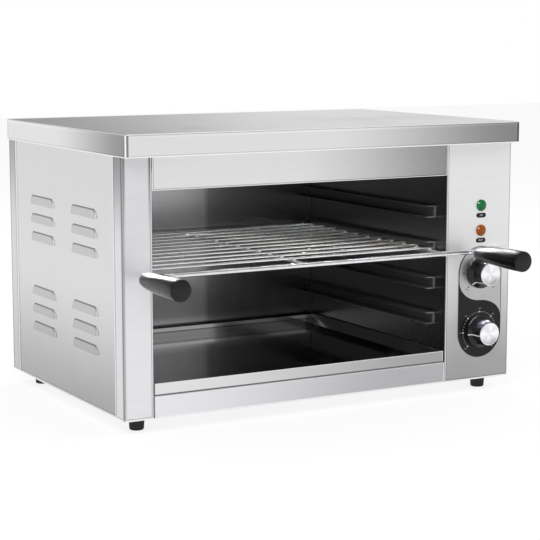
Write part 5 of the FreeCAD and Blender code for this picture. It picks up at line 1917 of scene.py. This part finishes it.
@dataclass
class Studio:
    """Camera, floor, background and lamps."""

    camera_place: Triple = (-1.14025, -2.01434, 0.50994)
    camera_yaw: float = -0.5114
    camera_pitch: float = -0.1447
    focal_pixels: float = 1668.9
    picture_pixels: float = 540.0
    aim: Vector = field(default_factory=lambda: Vector((0.0, 0.0, 0.2)))
    sensor: float = 36.0
    floor_size: float = 14.0
    floor_gap: float = 0.4 * MM
    floor_glow: float = 0.72
    floor_strength: float = 1.1
    ambient: float = 0.62
    floor_colour: tuple[float, ...] = (0.9, 0.9, 0.9, 1.0)
    sky: tuple[Pair, ...] = (
        (0.0, 1.0),
        (0.06, 0.9),
        (0.2, 0.7),
        (0.36, 0.28),
        (0.72, 0.28),
        (0.9, 0.82),
    )
    back_left: float = math.radians(21.0)
    back_right: float = math.radians(31.0)
    back_dark: float = 0.42
    back_right_tone: float = 0.85
    left_start: float = -0.35
    low_sky: Pair = (0.15, 0.4)
    panels: tuple[SoftPanel, ...] = (
        SoftPanel("key_panel", (-1.7, -1.7, 2.3), (1.5, 1.5), 4.6),
        SoftPanel("back_panel", (0.6, 1.4, 2.4), (1.2, 1.2), 2.4),
        SoftPanel("right_panel", (2.3, -0.9, 1.5), (1.2, 1.2), 2.2),
        SoftPanel("right_streak", (0.65, 1.5, 1.2), (0.5, 0.9), 21.0, Gloss.GRIPS),
        SoftPanel("left_streak", (0.1, 1.5, 0.75), (0.5, 0.8), 46.0, Gloss.GRIPS),
        SoftPanel("wire_panel", (1.3, 0.1, 2.2), (0.9, 0.9), 2.2, Gloss.WIRES),
        SoftPanel("glint_panel", (-1.7, -1.7, 2.3), (0.8, 0.8), 50.0, Gloss.LENSES),
    )

    def build(self) -> None:
        """Sets the studio up."""
        self.camera()
        self.floor()
        self.world()
        for panel in self.panels:
            self.lamp(panel)
        bpy.context.scene.view_settings.view_transform = "Standard"

    def camera(self) -> None:
        """Makes the camera at the photograph's viewing angle."""
        data = bpy.data.cameras.new("camera")
        data.sensor_width = self.sensor
        data.lens = self.focal_pixels * self.sensor / self.picture_pixels
        data.clip_end = 50.0
        camera = bpy.data.objects.new("camera", data)
        camera.location = self.camera_place
        camera.rotation_euler = (QUARTER_TURN + self.camera_pitch, 0.0, self.camera_yaw)
        bpy.context.scene.collection.objects.link(camera)
        bpy.context.scene.camera = camera

    def seen(self, board: Board) -> Socket:
        """Returns 1 for rays that see the background straight, in gloss or through a lens."""
        path = board.put("LightPath").outputs
        most = board.calc("MAXIMUM", path["Is Camera Ray"], path["Is Glossy Ray"])
        return board.calc("MAXIMUM", most, path["Is Transmission Ray"])

    def floor(self) -> None:
        """Makes the pale floor, which keeps the grill's shadow."""
        mesh = bmesh.new()
        lowered = Matrix.Translation((0.0, 0.0, -self.floor_gap))
        half = self.floor_size / 2.0
        bmesh.ops.create_grid(mesh, x_segments=1, y_segments=1, size=half, matrix=lowered)
        data = bpy.data.meshes.new("floor")
        mesh.to_mesh(data)
        mesh.free()
        floor = bpy.data.objects.new("floor", data)
        bpy.context.scene.collection.objects.link(floor)
        material = bpy.data.materials.new("pale_floor")
        material.use_nodes = True
        board = Board(material.node_tree)
        material.node_tree.nodes.clear()
        matt = board.put("BsdfDiffuse", {"Color": self.floor_colour})
        glow = board.put("Emission", {"Color": WHITE, "Strength": self.floor_strength})
        share = board.calc("MULTIPLY", self.seen(board), self.floor_glow)
        mixed = board.put("MixShader", {0: share, 1: matt.outputs[0], 2: glow.outputs[0]})
        board.put("OutputMaterial", {0: mixed.outputs[0]})
        data.materials.append(material)

    def world(self) -> None:
        """Makes the background: white where it is seen, dimmer as light on the grill."""
        world = bpy.data.worlds.new("studio")
        world.use_nodes = True
        bpy.context.scene.world = world
        board = Board(world.node_tree)
        world.node_tree.nodes.clear()
        glossy = board.put("LightPath").outputs["Is Glossy Ray"]
        strength = board.vary(glossy, 1.0, self.reflected_sky(board))
        white = board.put("Background", {"Color": WHITE, "Strength": strength})
        soft = board.put("Background", {"Color": WHITE, "Strength": self.ambient})
        seen = self.seen(board)
        mixed = board.put("MixShader", {0: seen, 1: soft.outputs[0], 2: white.outputs[0]})
        board.put("OutputWorld", {0: mixed.outputs[0]})

    def reflected_sky(self, board: Board) -> Socket:
        """Gives how bright the studio is in gloss.

        It is pale at the horizon and overhead, and dim between them and at the back.

        Args:
            board: The world's board.

        Returns:
            The brightness by direction.
        """
        x, y, z = board.parts(board.put("TexCoord").outputs["Generated"])
        ramp = board.put("ValToRGB", {0: z})
        steps = ramp.color_ramp.elements
        while len(steps) < len(self.sky):
            steps.new(0.5)
        for step, (height, tone) in zip(steps, self.sky):
            step.position = height
            step.color = (tone, tone, tone, 1.0)
        angle = board.calc("ARCTAN2", x, y)
        tones = (self.back_dark, self.back_right_tone)
        right = board.span(angle, self.back_left, self.back_right, *tones)
        left = board.span(angle, self.left_start, 0.0, 1.0, 0.0)
        back = board.calc("MAXIMUM", left, right)
        low = board.span(z, *self.low_sky, 1.0, 0.0)
        return board.calc("MULTIPLY", ramp.outputs[0], board.vary(low, 1.0, back))

    def lamp(self, panel: SoftPanel) -> None:
        """Makes a soft panel that faces the grill.

        Args:
            panel: Its place, size and brightness.
        """
        data = bpy.data.lights.new(panel.name, "AREA")
        data.shape = "RECTANGLE"
        data.size, data.size_y = panel.size
        data.energy = panel.radiance * math.pi * panel.size[0] * panel.size[1]
        lamp = bpy.data.objects.new(panel.name, data)
        lamp.location = panel.place
        lamp.rotation_euler = (self.aim - lamp.location).to_track_quat("-Z", "Y").to_euler()
        lamp.visible_diffuse = panel.for_gloss is None
        lamp.visible_glossy = panel.for_gloss is not None
        if panel.for_gloss:
            data.cycles.use_multiple_importance_sampling = False
            lamp.light_linking.receiver_collection = GLOSS_GROUPS[panel.for_gloss]
            lamp.light_linking.blocker_collection = GLOSS_GROUPS[panel.for_gloss]
        bpy.context.scene.collection.objects.link(lamp)


def main() -> None:
    """Builds each sub-assembly in order, then the studio."""
    logging.basicConfig(level=logging.INFO, format="%(name)s: %(message)s")
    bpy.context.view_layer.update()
    for part in (Case(), Cavity(), Rack(), CrumbTray(), Controls(), Supply(), Feet(), Studio()):
        part.build()
        LOG.info("built %s", type(part).__name__)


if __name__ == "__main__":
    main()
